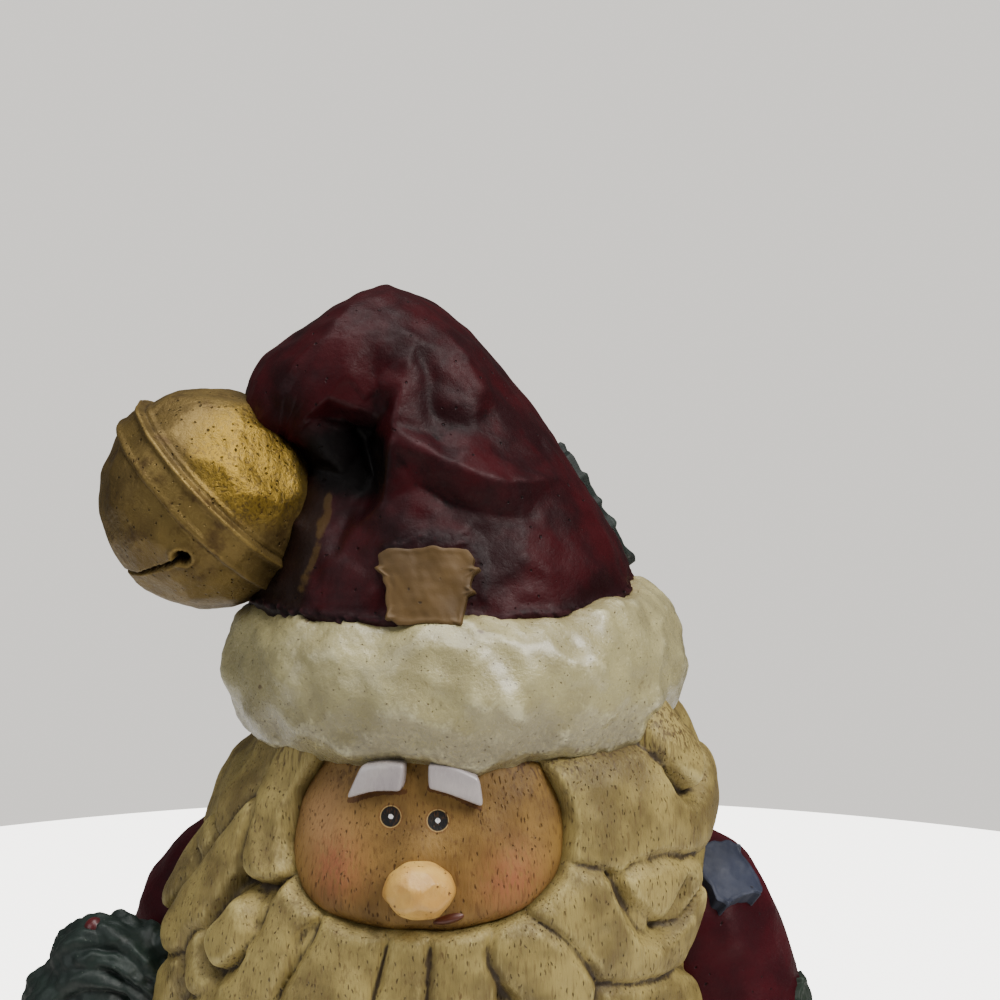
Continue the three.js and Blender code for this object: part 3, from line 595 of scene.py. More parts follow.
# %% The locks, as (height, [(degrees, z, half width), ...])
DEGREE_MM = 0.68
SIDE_LOCKS = [
    (4.4, [(33, 142.5, 6.2), (45, 141.5, 7.2), (60, 140.5, 7.2), (74, 140, 6.4), (86, 141, 5)]),
    (6.2, [(66, 152, 4.6), (71, 146.6, 4.2)]),
    (5.0, [(30, 132.5, 4), (38, 128.8, 5.4), (46, 123.8, 5), (56, 120.6, 3.6), (65, 120.8, 3.2),
           (71, 125, 2.6)]),
    (4.7, [(49.5, 131.6, 3.4), (56, 130.4, 4.6), (62, 128.8, 4.6), (66.5, 129.4, 3.6)]),
    (4.8, [(44, 114.5, 4.4), (58, 112, 5), (72, 107.5, 5), (86, 104, 4.4)]),
    (2.6, [(84, 127, 3.6), (88, 120, 4), (92, 112, 4)]),
    (4.4, [(-54.5, 152, 4.4), (-56, 145.5, 4.6), (-59, 140, 3.8)]),
    (5.4, [(-40, 152, 4.4), (-41, 144.5, 4.8), (-39.5, 137.8, 5.2)]),
    (5.2, [(-48, 141, 1.8), (-52, 135, 3.3), (-56, 128.5, 3.9), (-60.5, 121.8, 3.9)]),
    (4.4, [(-66, 134.5, 2.6), (-70, 129.5, 3.2), (-74.5, 124.5, 2.6)]),
    (5.6, [(-39.4, 127.8, 3), (-42, 123.2, 3.5)]),
    (4.6, [(-30, 130.5, 3.4), (-28.5, 126, 4), (-32, 120.5, 4.2), (-38, 114.5, 4.2), (-45, 110, 4)]),
    (4.3, [(-53, 121.5, 1.8), (-48, 117, 2.4), (-43, 115.6, 2.6)]),
    (4.4, [(-57, 116.5, 2.6), (-61, 112, 3.2), (-66, 105, 3.6), (-68, 98, 3.2)]),
    (4.2, [(-75, 113, 3.2), (-80, 105, 3.4), (-82, 98, 2.8)]),
]
BEARD_LOCKS = [
    (4.6, [(-13, 128, 4.6), (-14.5, 121, 5.6), (-16.5, 110, 5), (-18, 98, 4.4)]),
    (4.6, [(-1.6, 129, 2.5), (0.2, 119.5, 3.3), (0.5, 104, 3.8), (-1, 88, 3.4)]),
    (4.6, [(8.8, 129, 3.7), (12, 119.5, 4.1), (13, 106, 4.2), (11, 94, 3.8)]),
    (5.2, [(21, 126, 3.4), (29, 122.6, 4.4), (34, 117, 4.4), (37, 109, 3.8)]),
    (4.6, [(24, 110, 4.6), (27, 100, 5), (22, 90, 4.4), (15, 83, 3.2)]),
    (4.6, [(44, 104, 4.6), (46, 94, 4.6), (36, 84, 3.6), (23, 78, 2.8)]),
    (3.2, [(64, 100, 4.2), (67, 96, 3.4)]),
    (4.6, [(-32, 107, 4.8), (-33, 97, 5), (-26, 88, 4.4), (-18, 82, 3.2)]),
    (4.6, [(-50, 104, 4.4), (-52, 94, 4.4), (-42, 84, 3.4), (-30, 79, 2.8)]),
    (4.2, [(-66, 98, 3.6), (-67, 92, 3.6), (-58, 86, 3)]),
    (4.6, [(-10, 90, 4.4), (-12, 82, 4), (-6, 74, 3.2)]),
    (5.0, [(6, 88, 4.6), (6, 79, 4.2), (1, 71, 3)]),
]

# At the back the hair hangs in plain waved strands, alternately to one side and the other.
BACK_STRANDS = 7
BACK_LOCKS = []
for i in range(BACK_STRANDS):
    middle = 103 + i * 154 / (BACK_STRANDS - 1)
    sway = 4 if i % 2 == 0 else -4
    BACK_LOCKS.append((3.2, [(middle, 150, 5.2), (middle + sway, 138, 6.2), (middle - sway, 127, 5.4),
                             (middle, 114, 4.6), (middle, 104, 3)]))
print(len(SIDE_LOCKS) + len(BEARD_LOCKS) + len(BACK_LOCKS), "locks")

# %% Cuts of the knife that are narrower than a crease: (depth, [(degrees, z, half width), ...])
CUTS = [
    (2.2, [(62, 146, 0.5), (65, 143.6, 0.9), (70, 142, 1.2), (75.5, 144, 1.5), (78, 148, 0.7)]),
    (2.2, [(42, 134, 0.5), (47, 128.2, 0.8), (52, 124.8, 1), (58, 124.4, 1.4), (63, 127.2, 1.5),
           (64.5, 130, 0.5)]),
    (1.8, [(-48, 121.5, 0.6), (-44, 118.9, 1), (-39.5, 119.2, 0.9), (-36, 122.4, 0.4)]),
    (2.0, [(-46, 131, 0.7), (-40, 130.8, 1), (-36.5, 131.2, 1), (-33, 133.3, 0.4)]),
    (1.6, [(-39, 130.6, 0.8), (-37, 128.6, 0.9), (-35.5, 126.5, 0.4)]),
    (1.4, [(-22.5, 128.4, 0.5), (-24.6, 125.6, 0.9), (-24.2, 122, 0.6), (-25.5, 118.5, 0.4)]),
    (1.0, [(-67, 132.5, 0.4), (-64.5, 131.2, 0.5), (-65.5, 129.8, 0.4)]),
]
print(len(CUTS), "cuts")

# %% How high the hair stands
FLOOR_HEIGHT = 2.0
LOCK_SPREAD = 1.28
PLUMPNESS = 3.6
CREASE_DEPTH, CREASE_WIDTH = 1.0, 0.7


def hair_height(degrees, z):
    """The highest pillow, less a crease where the two highest are equal, less the cuts. A pillow's height
    across its stroke is (1 - q^3.6)^0.5, flatter on top than a half circle."""
    across = degrees * DEGREE_MM
    highest = np.full(z.shape, FLOOR_HEIGHT)
    second = highest.copy()
    for height, knots in SIDE_LOCKS + BEARD_LOCKS + BACK_LOCKS:
        stroke = [(turn * DEGREE_MM, up, width) for turn, up, width in knots]
        behind = stroke[0][0] > 90 * DEGREE_MM
        q = nearness(across % (360 * DEGREE_MM) if behind else across, z, stroke, LOCK_SPREAD)
        q = np.minimum(q, 1)
        pillow = FLOOR_HEIGHT + (height - FLOOR_HEIGHT) * (1 - q ** PLUMPNESS) ** 0.5
        second = np.maximum(second, np.minimum(highest, pillow))
        highest = np.maximum(highest, pillow)
    meeting = step(FLOOR_HEIGHT, FLOOR_HEIGHT + 0.6, second)
    result = highest - CREASE_DEPTH * meeting * hump(highest - second, CREASE_WIDTH)
    for depth, knots in CUTS:
        q = nearness(across, z, [(turn * DEGREE_MM, up, width) for turn, up, width in knots], 2.5)
        result -= depth * hump(q, 0.5)
    return result


FACE_MIDDLE = (-2.2, 141.3)
FACE_HALF = (24.5, 13.6)
FACE_SQUARE = 2.4


def from_face(degrees, z):
    """0 in the middle of the face and 1 at its edge, a rounded box: (|across|^2.4 + |up|^2.4)^(1 / 2.4)."""
    across = np.abs(degrees - FACE_MIDDLE[0]) * DEGREE_MM / FACE_HALF[0]
    up = np.abs(z - FACE_MIDDLE[1]) / FACE_HALF[1]
    return (across ** FACE_SQUARE + up ** FACE_SQUARE) ** (1 / FACE_SQUARE)


FRONT_TURN = profile([[0, 0], [0.37, 98], [0.5, 180]])

# %% The skin of the hair and beard, with the grid closer at the front, and sunk behind the face
u, v = grid(192, 346)
z = HEAD_LOW + (HEAD_HIGH - HEAD_LOW) * u
degrees = np.where(v <= 0.5, FRONT_TURN(v), -FRONT_TURN(1 - v))
height = hair_height(degrees, z)
outside = from_face(degrees, z) - 1
# Close to the face the locks stay lower, so that they don't hang over it.
height = np.minimum(height, 4.4 + 1.6 * step(0, 0.25, outside) + 9 * np.maximum(outside - 0.25, 0))
behind_face = step(0.0, -0.08, outside)
height = blurred(height * (1 - behind_face) - 2.5 * behind_face, 1)
places = on_head(degrees, z, height)
places = faceted(places, 26, 64, chance(1), 0.55)
places = roughened(places, 6, 0.12, 2)

uneven_height = places[..., 2] + 1.2 * lumps(places, 3, chance(3))
under_brim = step(146.5, 151, uneven_height) * step(100, 80, np.abs(degrees))


def hair_paint(tree, colour, place, fine):
    """Dark strokes that fan out from under the brim."""
    strokes = noise(tree, stretched(tree, place, (1900, 1900, 200)), 1.0, 2.0)
    strokes = maths(tree, "MULTIPLY", fade(tree, strokes, 0.46, 0.6), attribute(tree, "under_brim"))
    return over(tree, colour, strokes, 0.8, shade(74, 54, 26))


HAIR_CREAM = paint(
    "hair cream", shade(157, 139, 80), shade(108, 92, 48), dust_and_highlight=shade(214, 196, 128),
    wash_and_shade=shade(48, 32, 13), wash_and_shade_amount=0.9, dust_and_highlight_amount=0.55, rough=(0.45, 0.66), fleck=shade(88, 64, 30),
    cells=(2400, 2400, 640), share=0.4, size=0.28, grain=(2300, 2300, 380), relief=1.0,
    extra=bristle_marks(shade(88, 64, 30), 0.3, hair_paint))
# The dry brush and its painted highlights hardly touch the rim round the face, which would be a bright ring
# otherwise.
by_face = 0.34 * step(0.32, 0.12, outside)
hollow = np.maximum(hollows(places, 9, 0.55), by_face)
skin("hair_and_beard", places, HAIR_CREAM, hollow=hollow, under_brim=under_brim,
     ends=[[-2, -12, HEAD_LOW], [1.5, 0, HEAD_HIGH]])


# %% [markdown]
# ## Face
#
# The face is one broad, low pillow of wood-like tan with rosy cheeks. The eyes are only painted: a black
# disc, a thin cream ring and a white dot. Raising them would make them bulge, so they stay colour. Their
# outlines are still sharp, because the mesh stores each place's distance to the eye in millimetres, and the
# shader compares it with the radius. A stored mask would be as blurry as the grid.
# The pillow is a round grid: with an angle a from the middle, it lies sin(a)^(2/3) of the way to its edge
# and stands cos(a) of its full height, so its rim is steep and it closes behind itself. Its pole, where the
# columns meet, would show as a small star, so it lies where the nose covers it.

# %% The face's grid
FACE_RISE = 4.4
FACE_BACK_ANGLE = 0.8 * np.pi
FACE_POLE = (0.3, 134.6)
EYES = [(-9.3, 143.5), (1.9, 143.0)]
CHEEKS = [(-21, 136.2, 4.4), (18.5, 135.2, 4.6)]
SWELLS = [(-2, 138, 4.2, 1.3), (-20, 135.4, 6, 0.9), (18.5, 134.2, 6.5, 1.0), (-9.3, 143.6, 2.6, -0.4),
          (1.9, 143.1, 2.6, -0.4), (12, 141, 4, 0.35)]


def bell_curve(degrees, z, middle, height, size):
    """1 at a middle and falling as exp(-(distance / size)^2)."""
    return np.exp(-(((degrees - middle) * DEGREE_MM) ** 2 + (z - height) ** 2) / size ** 2)


u, v = grid(130, 250)
angle = FACE_BACK_ANGLE * u
corner = np.abs(np.cos(2 * np.pi * v)) ** FACE_SQUARE + np.abs(np.sin(2 * np.pi * v)) ** FACE_SQUARE
corner = corner ** (1 / FACE_SQUARE)
outward = np.sin(angle) ** (2 / 3)
rim_degrees = FACE_MIDDLE[0] + np.cos(2 * np.pi * v) * FACE_HALF[0] / DEGREE_MM / corner
rim_z = FACE_MIDDLE[1] + np.sin(2 * np.pi * v) * FACE_HALF[1] / corner
degrees = FACE_POLE[0] + outward * (rim_degrees - FACE_POLE[0])
z = FACE_POLE[1] + outward * (rim_z - FACE_POLE[1])
height = np.where(angle < np.pi / 2, FACE_RISE, 3.0) * np.cos(angle)
front = step(0.1, 0.5, np.cos(angle))
for middle, up, size, lift in SWELLS:
    height = height + front * lift * bell_curve(degrees, z, middle, up, size)
places = faceted(on_head(degrees, z, height), 9, 14, chance(2), 0.12)
places = roughened(places, 7, 0.1, 3)

near_eyes = [np.hypot((degrees - across) * DEGREE_MM, z - up) for across, up in EYES]
eye_middles = [places.reshape(-1, 3)[np.argmin(gap)] for gap in near_eyes]
eye = np.min([np.linalg.norm(places - middle, axis=-1) for middle in eye_middles], axis=0)
cheek = sum(bell_curve(degrees, z, *middle) for middle in CHEEKS)
LEFT_LINE = [(-6.4 * DEGREE_MM, 146.8, 1), (-13 * DEGREE_MM, 146.4, 1), (-20.3 * DEGREE_MM, 144.9, 1)]
RIGHT_LINE = [(-0.8 * DEGREE_MM, 147.4, 1), (4.2 * DEGREE_MM, 146.7, 1), (11.4 * DEGREE_MM, 144.9, 1)]
lines = [nearness(degrees * DEGREE_MM, z, knots, 4) for knots in (LEFT_LINE, RIGHT_LINE)]
under_brow = np.minimum(*lines) * 4
temple = bell_curve(degrees, z, 24, 150, 4.5) + 0.7 * bell_curve(degrees, z, -22, 149.5, 4)
pale = bell_curve(degrees, z, -28, 142, 6)
print("the eyes are", round(float(np.linalg.norm(eye_middles[0] - eye_middles[1])), 1), "mm apart")

# %% The face's paint
EYE_BLACK, EYE_RING, EYE_DOT = 1.42, 1.57, 0.38


def face_paint(tree, colour, place, fine):
    """The paler left, cheeks, dark strokes at the temples, a thin line under each brow, and the eyes."""
    colour = over(tree, colour, attribute(tree, "pale"), 0.7, shade(168, 130, 88))
    blotchy = maths(tree, "MULTIPLY", attribute(tree, "cheek"), fade(tree, fine, 0.2, 0.62))
    colour = over(tree, colour, blotchy, 0.8, shade(146, 84, 58))
    hair = noise(tree, stretched(tree, place, (1900, 1900, 160)), 1.0, 1.0)
    hair = maths(tree, "MULTIPLY", fade(tree, hair, 0.5, 0.62), attribute(tree, "temple"))
    colour = over(tree, colour, hair, 0.9, shade(74, 48, 26))
    line_width = maths(tree, "MULTIPLY", fine, 0.75)
    thin = maths(tree, "LESS_THAN", attribute(tree, "under_brow"), line_width)
    colour = over(tree, colour, thin, 0.75, shade(78, 42, 20))
    eye_distance = attribute(tree, "eye")
    colour = over(tree, colour, fade(tree, eye_distance, 1.95, EYE_RING), 0.6, shade(110, 66, 30))
    ring = fade(tree, eye_distance, EYE_RING + 0.04, EYE_RING - 0.04)
    colour = mixed(tree, ring, colour, shade(164, 136, 86))
    black = fade(tree, eye_distance, EYE_BLACK + 0.04, EYE_BLACK - 0.04)
    colour = mixed(tree, black, colour, shade(14, 13, 14))
    dot = fade(tree, eye_distance, EYE_DOT + 0.05, EYE_DOT - 0.05)
    return mixed(tree, dot, colour, shade(232, 232, 236))


FACE_TAN = paint(
    "face tan", shade(137, 106, 54), shade(109, 81, 39), dust_and_highlight=shade(166, 136, 80), wash_and_shade=shade(62, 38, 16),
    dust_and_highlight_amount=0.1, shine=0.3, rough=(0.46, 0.64), fleck=shade(76, 46, 20), cells=(2200, 2200, 560),
    share=0.4, size=0.28, grain=(2200, 2200, 380), relief=0.8,
    extra=bristle_marks(shade(80, 50, 22), 0.24, face_paint))
skin("face", places, FACE_TAN, hollow=hollows(places, 6, 0.5), eye=eye, cheek=cheek, under_brow=under_brow,
     temple=temple, pale=pale)

# %% [markdown]
# ## Nose, brows and mouth
#
# The nose is a whittled bulb: a ball, a little wider than high, with flats planed on it. The brows are two
# white slabs tucked under the brim, and the mouth is only a dark lens beside the nose.
# Paring is a helper of its own, because the bell needs it too: what stands past a plane is pushed back.

# %% Balls and planed flats
def ball(centre, size, rows=60, columns=90):
    """An ellipsoid: the centre plus each half size times the sines and cosines of two angles."""
    u, v = grid(rows, columns)
    down, turn = np.pi * u, 2 * np.pi * v
    way = np.stack([np.sin(down) * np.cos(turn), np.sin(down) * np.sin(turn), np.cos(down)], -1)
    return np.array(centre) + way * np.array(size)


def pared(places, centre, flats, keep=0.12):
    """The form after planing: a place that stands past a flat (direction, distance from the centre) comes
    back to it, but keeps a small share of its excess, so that the flat stays slightly crowned."""
    for direction, distance in flats:
        way = unit(direction)
        excess = np.maximum(((places - centre) * way).sum(-1) - distance, 0)
        places = places - way * (excess * (1 - keep))[..., None]
    return places


NOSE_MIDDLE = np.array([0.2, -38.2, 134.5])
NOSE_SIZE = np.array([4.95, 4.8, 3.9])
nose = ball(NOSE_MIDDLE, NOSE_SIZE, 76, 110)
NOSE_FLATS = [((0.05, -0.62, -0.8), 3.75), ((-0.5, -0.85, 0.1), 4.35), ((0.55, -0.8, 0.15), 4.35),
              ((0.1, -0.7, 0.75), 4.1), ((-0.75, -0.3, -0.6), 4.2), ((0.8, -0.2, -0.55), 4.2)]
nose = pared(nose, NOSE_MIDDLE, NOSE_FLATS, 0.35)
nose = roughened(nose, 3, 0.1, 4)
NOSE_CREAM = paint(
    "nose cream", shade(220, 178, 96), shade(192, 144, 70), dust_and_highlight=shade(242, 210, 140),
    wash_and_shade=shade(96, 54, 22), dust_and_highlight_amount=0.6, rough=(0.32, 0.5), fleck=shade(96, 54, 22),
    cells=(1400, 1400, 900), share=0.3, size=0.22, grain=(1800, 1800, 900), relief=0.9, coat=0.25)
skin("nose", nose, NOSE_CREAM, hollow=hollows(nose, 5, 0.3))

# %% Brows: slabs between a lower and an upper edge
SLAB_SQUARE = 0.35


def slab(lower, upper, height, thickness):
    """A bar between two edge lines. Its section is a rounded box, |sin|^0.35, and its ends are almost
    cut square."""
    u, v = grid(70, 62)
    section = 2 * np.pi * v
    end = (1 - np.abs(2 * u - 1) ** 24) ** 0.5
    up = np.sign(np.sin(section)) * np.abs(np.sin(section)) ** SLAB_SQUARE * end
    out = np.sign(np.cos(section)) * np.abs(np.cos(section)) ** SLAB_SQUARE * end
    low, high = line(lower)(u), line(upper)(u)
    middle = (low + high) / 2 + (high - low) / 2 * up[..., None]
    return on_head(middle[..., 0], middle[..., 1], height + thickness * out)


BROW_WHITE = paint(
    "brow white", shade(178, 170, 168), shade(158, 150, 152), dust_and_highlight=shade(204, 197, 195),
    wash_and_shade=shade(96, 76, 66), wash_and_shade_amount=0.4, rough=(0.22, 0.34), share=0.03, size=0.2, relief=0.12,
    coat=0.3)
LEFT_BROW = slab([(-6.5, 147.3), (-13, 147.0), (-20, 145.6)],
                 [(-6.2, 151), (-11.5, 151), (-17, 150.4)], 4.6, 1.5)
RIGHT_BROW = slab([(-0.6, 147.9), (4.4, 147.1), (12.2, 145.3)],
                  [(-0.9, 151.2), (4.5, 151), (11.2, 149.4)], 4.6, 1.5)
for name, places in (("brow_left", LEFT_BROW), ("brow_right", RIGHT_BROW)):
    skin(name, places, BROW_WHITE, hollow=hollows(places, 2, 0.3))

# %% Mouth: a small lens beside the nose
MOUTH_BROWN = paint("mouth brown", shade(92, 44, 24), shade(70, 30, 18), rough=(0.35, 0.5), share=0.1)
mouth = ball(on_head(6.2, 130.3, 3.0), (2.5, 1.6, 0.85), 30, 44)
mouth[..., 2] += 0.25 * (mouth[..., 0] - mouth[..., 0].mean())
skin("mouth", mouth, MOUTH_BROWN, hollow=hollows(mouth, 2, 0.3))

# %% [markdown]
# ## Hat
#
# The hat is a bag that leans over and flops down to the bell. A turned or revolved form can't flop, so its
# skin is drawn between two lines that share a parameter, the right outline and the left one, with a half
# depth on both sides of them. The photograph shows flat facets and sharp folds on its front. These are
# modelled the way they were carved: some named points get a height, and flat triangles join them.

# %% The hat's outlines and depth
HAT_RIGHT = line([(29.6, 158), (28.6, 165), (26.7, 174.6), (22.3, 182.6), (18.2, 189), (14, 195.2),
                  (7.6, 203.2), (1.6, 209.6), (-4, 213.4), (-10, 214.9), (-15.5, 212.6), (-21.5, 208.7),
                  (-27, 204.6), (-29.8, 199.5), (-31.5, 193)])
HAT_LEFT = line([(-28.5, 158), (-29.6, 163), (-30, 168), (-29.4, 172), (-28, 176), (-27, 180), (-25.8, 184),
                 (-24.8, 187.5), (-24, 189.6), (-24.2, 190.6), (-24.8, 190.6), (-25.4, 189.6), (-26, 188),
                 (-26.6, 186), (-27, 184)])
HAT_HALF_DEPTH = profile([[0, 29.5], [0.15, 27.5], [0.3, 23.5], [0.45, 19], [0.6, 16], [0.75, 13.5],
                          [0.88, 11], [1, 8]])
HAT_LEAN = profile([[0, -1.5], [0.5, -1.5], [0.75, -3], [1, -0.5]])

# Heights over the plain bag, as (x, z, height). They are negative in the hollow under the flop.
HAT_FRONT_POINTS = [
    (-6.5, 214.3, 0.4), (-2.8, 210.8, 1), (0.1, 208.4, 1.8), (1.9, 205.2, 2.8), (-3.6, 207.2, 1.6),
    (-4.6, 201.7, 1.2), (-5.5, 196.2, 1), (-0.8, 202.3, 0), (0.1, 198.1, -0.6), (2.9, 196, -0.9),
    (5.6, 195.9, 0), (5.6, 200, 2.4), (8.7, 199, 0.6), (11.7, 194.7, 0.5), (3.1, 208.8, 0.3),
    (-5.7, 193.4, 1.2), (-1, 192.5, 2), (3.2, 190, 3), (6, 188.5, 3.2), (9.5, 187.4, 3), (13.5, 187.5, 2.6),
    (16.8, 187.5, 1.8), (19.6, 184.4, 1.6), (21.9, 180.8, 1.2), (24, 176.6, 0.8), (0.9, 194.6, -0.6),
    (9.2, 192.3, 0.4), (14.6, 190.4, 0.5), (-1.5, 188.7, -0.8), (2.8, 186, -0.8), (6.9, 184.3, 0),
    (12.4, 183.6, 0.4), (17.9, 181, 0.6), (-13.2, 194, -7), (-11.3, 189.9, -7), (-14.8, 196.7, -5),
    (-10.1, 196.1, -5.5), (-7.9, 192.7, -3.5), (-14.5, 185.6, -4.5), (-16.5, 189.6, -5),
    (-11.3, 183.1, -2.5), (-14.1, 177.4, -0.8), (-7.1, 186, -1), (-21.1, 193.5, 1), (-18.2, 196.8, 1.5),
    (-14.6, 199.8, 1.5), (-11.8, 203.4, 1.2), (-9.7, 207.2, 1), (-19.8, 203.5, 1), (-15.5, 207.8, 1),
    (-24.5, 199, 0.5), (-11, 210.9, 0.5), (-8.2, 202.4, -0.6), (-7.8, 197.9, -2.6), (0.4, 178.1, 0.6),
    (-4, 182, 0), (4.3, 182, 0), (8.1, 179.9, -0.6), (9, 174.7, -0.4), (12.7, 177.7, 0.8), (18.2, 173.9, 0),
    (-6.5, 174, 0), (-13.9, 172.8, 0), (2, 172.9, 0.4), (23.6, 172.9, 0.2),
]
HAT_BACK_POINTS = [
    (0, 205, 1.2), (-6, 196, -1.4), (4, 196, 1.4), (-10, 186, 1.6), (0, 186, -1.2), (10, 187, 1.6),
    (16, 180, 0.4), (-16, 178, 0.2), (-4, 177, 1.2), (6, 175, -0.8), (14, 172, 1), (22, 174, 0.4),
    (-12, 200, 1.2), (-20, 170, 0.8), (-18, 205, 0.4), (-24, 198, 1),
]


def joined(points, x, z):
    """The height where flat triangles join the points, and nothing at a far frame of corners. Each triangle
    gives the sum of its corners' heights, weighed by the place's three shares of its area."""
    frame_corners = [(-45, 160, 0), (-45, 220, 0), (38, 160, 0), (38, 220, 0), (-28, 165, 0), (0, 164, 0),
                     (28, 165, 0), (-33, 190, 0), (-30, 205, 0), (-16, 215, 0), (-4, 215, 0), (8, 207, 0),
                     (18, 196, 0), (29, 184, 0)]
    everything = np.array(points + frame_corners, float)
    flat = [tuple(place) for place in everything[:, :2]]
    corners, _, triangles, *_ = delaunay_2d_cdt(flat, [], [], 0, 1e-6)
    corners = np.array([tuple(corner) for corner in corners])
    same = [np.argmin(np.hypot(*(everything[:, :2] - corner).T)) for corner in corners]
    lifts = everything[same, 2]
    height = np.zeros(x.shape)
    for triangle in triangles:
        (ax, az), (bx, bz), (cx, cz) = corners[list(triangle)]
        area = (bx - ax) * (cz - az) - (cx - ax) * (bz - az)
        share_b = ((x - ax) * (cz - az) - (cx - ax) * (z - az)) / area
        share_c = ((bx - ax) * (z - az) - (x - ax) * (bz - az)) / area
        inside = (share_b >= -1e-9) & (share_c >= -1e-9) & (share_b + share_c <= 1 + 1e-9)
        lift = lifts[list(triangle)]
        value = lift[0] + share_b * (lift[1] - lift[0]) + share_c * (lift[2] - lift[0])
        height = np.where(inside, value, height)
    return height


# %% The hat's skin
BRIM_MIDDLE = np.array([1.35, -1.5, 159.3])
BRIM_ROLL = np.radians(0.6)
BRIM_HALF_HEIGHT = 11.0
FOLD_GAIN = 1.12
u, v = grid(196, 264)
turn = 2 * np.pi * v
outer, inner = HAT_RIGHT(u), HAT_LEFT(u)
flat = (outer + inner) / 2 + (outer - inner) / 2 * np.cos(turn)[..., None]
front = np.clip(-np.sin(turn), 0, 1) ** 0.6
back = np.clip(np.sin(turn), 0, 1) ** 0.6
relief = front * joined(HAT_FRONT_POINTS, flat[..., 0], flat[..., 1])
relief += back * joined(HAT_BACK_POINTS, flat[..., 0], flat[..., 1])
relief = FOLD_GAIN * blurred(relief, 1)
places = np.stack([flat[..., 0], HAT_LEAN(u) + HAT_HALF_DEPTH(u) * np.sin(turn), flat[..., 1]], -1)
out = facing(places)
places = places + out * (relief * step(0.02, 0.08, u) * step(1.0, 0.9, u))[..., None]
places = faceted(places, 18, 22, chance(5), 0.75)
crust = lumps(places, 1.3, chance(6), 30)
brim_top = BRIM_MIDDLE[2] + 0.93 * BRIM_HALF_HEIGHT + places[..., 0] * np.tan(BRIM_ROLL)
rim = hump(places[..., 2] - brim_top - 0.6 + 0.4 * lumps(places, 5, chance(7)), 0.8) * (u < 0.4)
ROUGH_LINE = [(-6, 180.2, 0.5), (0, 180.9, 0.9), (6, 180.3, 0.8), (8, 177, 0.4), (8, 173, 0.4)]
rough_paint = hump(nearness(flat[..., 0], flat[..., 1], ROUGH_LINE, 1.5), 1) * (front > 0)
places += facing(places) * (rim * (0.7 + 0.35 * crust) + rough_paint * (0.25 + 0.25 * crust)
                            + 0.12 * lumps(places, 5, chance(8)))[..., None]
crusty = np.clip(rim + rough_paint, 0, 1)
GILT_LINE = [(-15.6, 187, 0.3), (-15.6, 184.2, 0.5), (-16, 181.4, 0.7), (-16.8, 177.3, 0.4),
             (-18.6, 173, 0.6)]
x, z = places[..., 0], places[..., 2]
gilt = hump(nearness(x, z, GILT_LINE, 2), 1) * (front > 0)
behind_bell = step(0.5, -1.0, x + 15.3 + 0.2 * (184 - z)) * step(189, 186, z) * (front > 0)
# Painted shadow: near-black paint in the hollow under the flop, where the flop shades the hat.
under_flop = step(1.35, 0.7, np.hypot((x + 12.6) / 7.5, (z - 190.6) / 4.8)) * (front > 0)


def wine_paint(tree, colour, place, fine):
    """Dark, dry paint where the crust is, near-black brown beside the bell, a painted shadow under the flop,
    and gold that the brush left beside the bell.
    """
    colour = over(tree, colour, attribute(tree, "behind_bell"), 0.85, shade(26, 17, 12))
    colour = over(tree, colour, attribute(tree, "under_flop"), 0.92, shade(7, 3, 4))
    slow = noise(tree, place, 420.0, 3.0)
    smear = fade(tree, maths(tree, "MULTIPLY", attribute(tree, "gilt"), slow), 0.3, 0.5)
    colour = over(tree, colour, smear, 0.7, shade(72, 54, 27))
    return over(tree, colour, attribute(tree, "crusty"), 0.75, shade(24, 12, 15))


WINE = dict(dust_and_highlight=shade(76, 42, 46), wash_and_shade=shade(5, 1, 2), wash_and_shade_amount=1.0, rough=(0.4, 0.58),
            fleck=shade(10, 4, 6), cells=(620, 620, 620), share=0.4, size=0.17, relief=0.5,
            grain=(1300, 1300, 1300), shine=0.14)
HAT_WINE = paint("hat wine", shade(52, 8, 14), shade(32, 7, 11), extra=wine_paint, dust_and_highlight_amount=0.4, **WINE)
# The painted shadow under the flop also deepens the wash and shade there.
hollow = np.clip(hollows(places, 10, 0.6) + 0.4 * under_flop, 0, 1)
skin("hat", places, HAT_WINE, hollow=hollow, crusty=crusty, gilt=gilt, behind_bell=behind_bell,
     under_flop=under_flop)

# %% [markdown]
# ## Brim
#
# The brim is a fat roll of fur, cast smooth but dented, under pearl white paint. Its section is a rounded
# box that is carried round a circle, and both ends of the grid meet. The ring is almost level. Grime has
# gathered where the hat comes out of it, and its paint is stippled with brown specks. Its lower half is
# painted darker, as shade from the light above.

# %% The brim's ring
BRIM_RADIUS, BRIM_HALF_THICKNESS = 26.4, 7.5
BRIM_SQUARE = 0.85


def softened(value, power):
    """The value's size to a power, with its sign kept: under 1 it makes a circle squarer."""
    return np.sign(value) * np.abs(value) ** power


u, v = grid(348, 112, loop=True)
turn, section = 2 * np.pi * u, 2 * np.pi * v
lump = 0.5 * np.sin(5 * turn + 1) + 0.35 * np.sin(9 * turn)
outward = BRIM_RADIUS + (BRIM_HALF_THICKNESS + lump / 2) * softened(np.cos(section), BRIM_SQUARE)
x, y = outward * np.sin(turn), -outward * np.cos(turn)
squareness = np.where(np.sin(section) > 0, 1.0, BRIM_SQUARE)
rise = (BRIM_HALF_HEIGHT + lump) * softened(np.sin(section), squareness) + x * np.tan(BRIM_ROLL)
places = BRIM_MIDDLE + np.stack([x, y, rise], -1)
places = faceted(places, 30, 9, chance(70), 0.6, rows_loop=True)
dents = (0.4 * lumps(places, 13, chance(10)) + 0.2 * lumps(places, 5.5, chance(11))
         + 0.06 * lumps(places, 2, chance(12)))
places += facing(places, True) * dents[..., None]
grime = step(0.35, 0.8, np.sin(section)) * step(0.55, -0.35, np.cos(section))
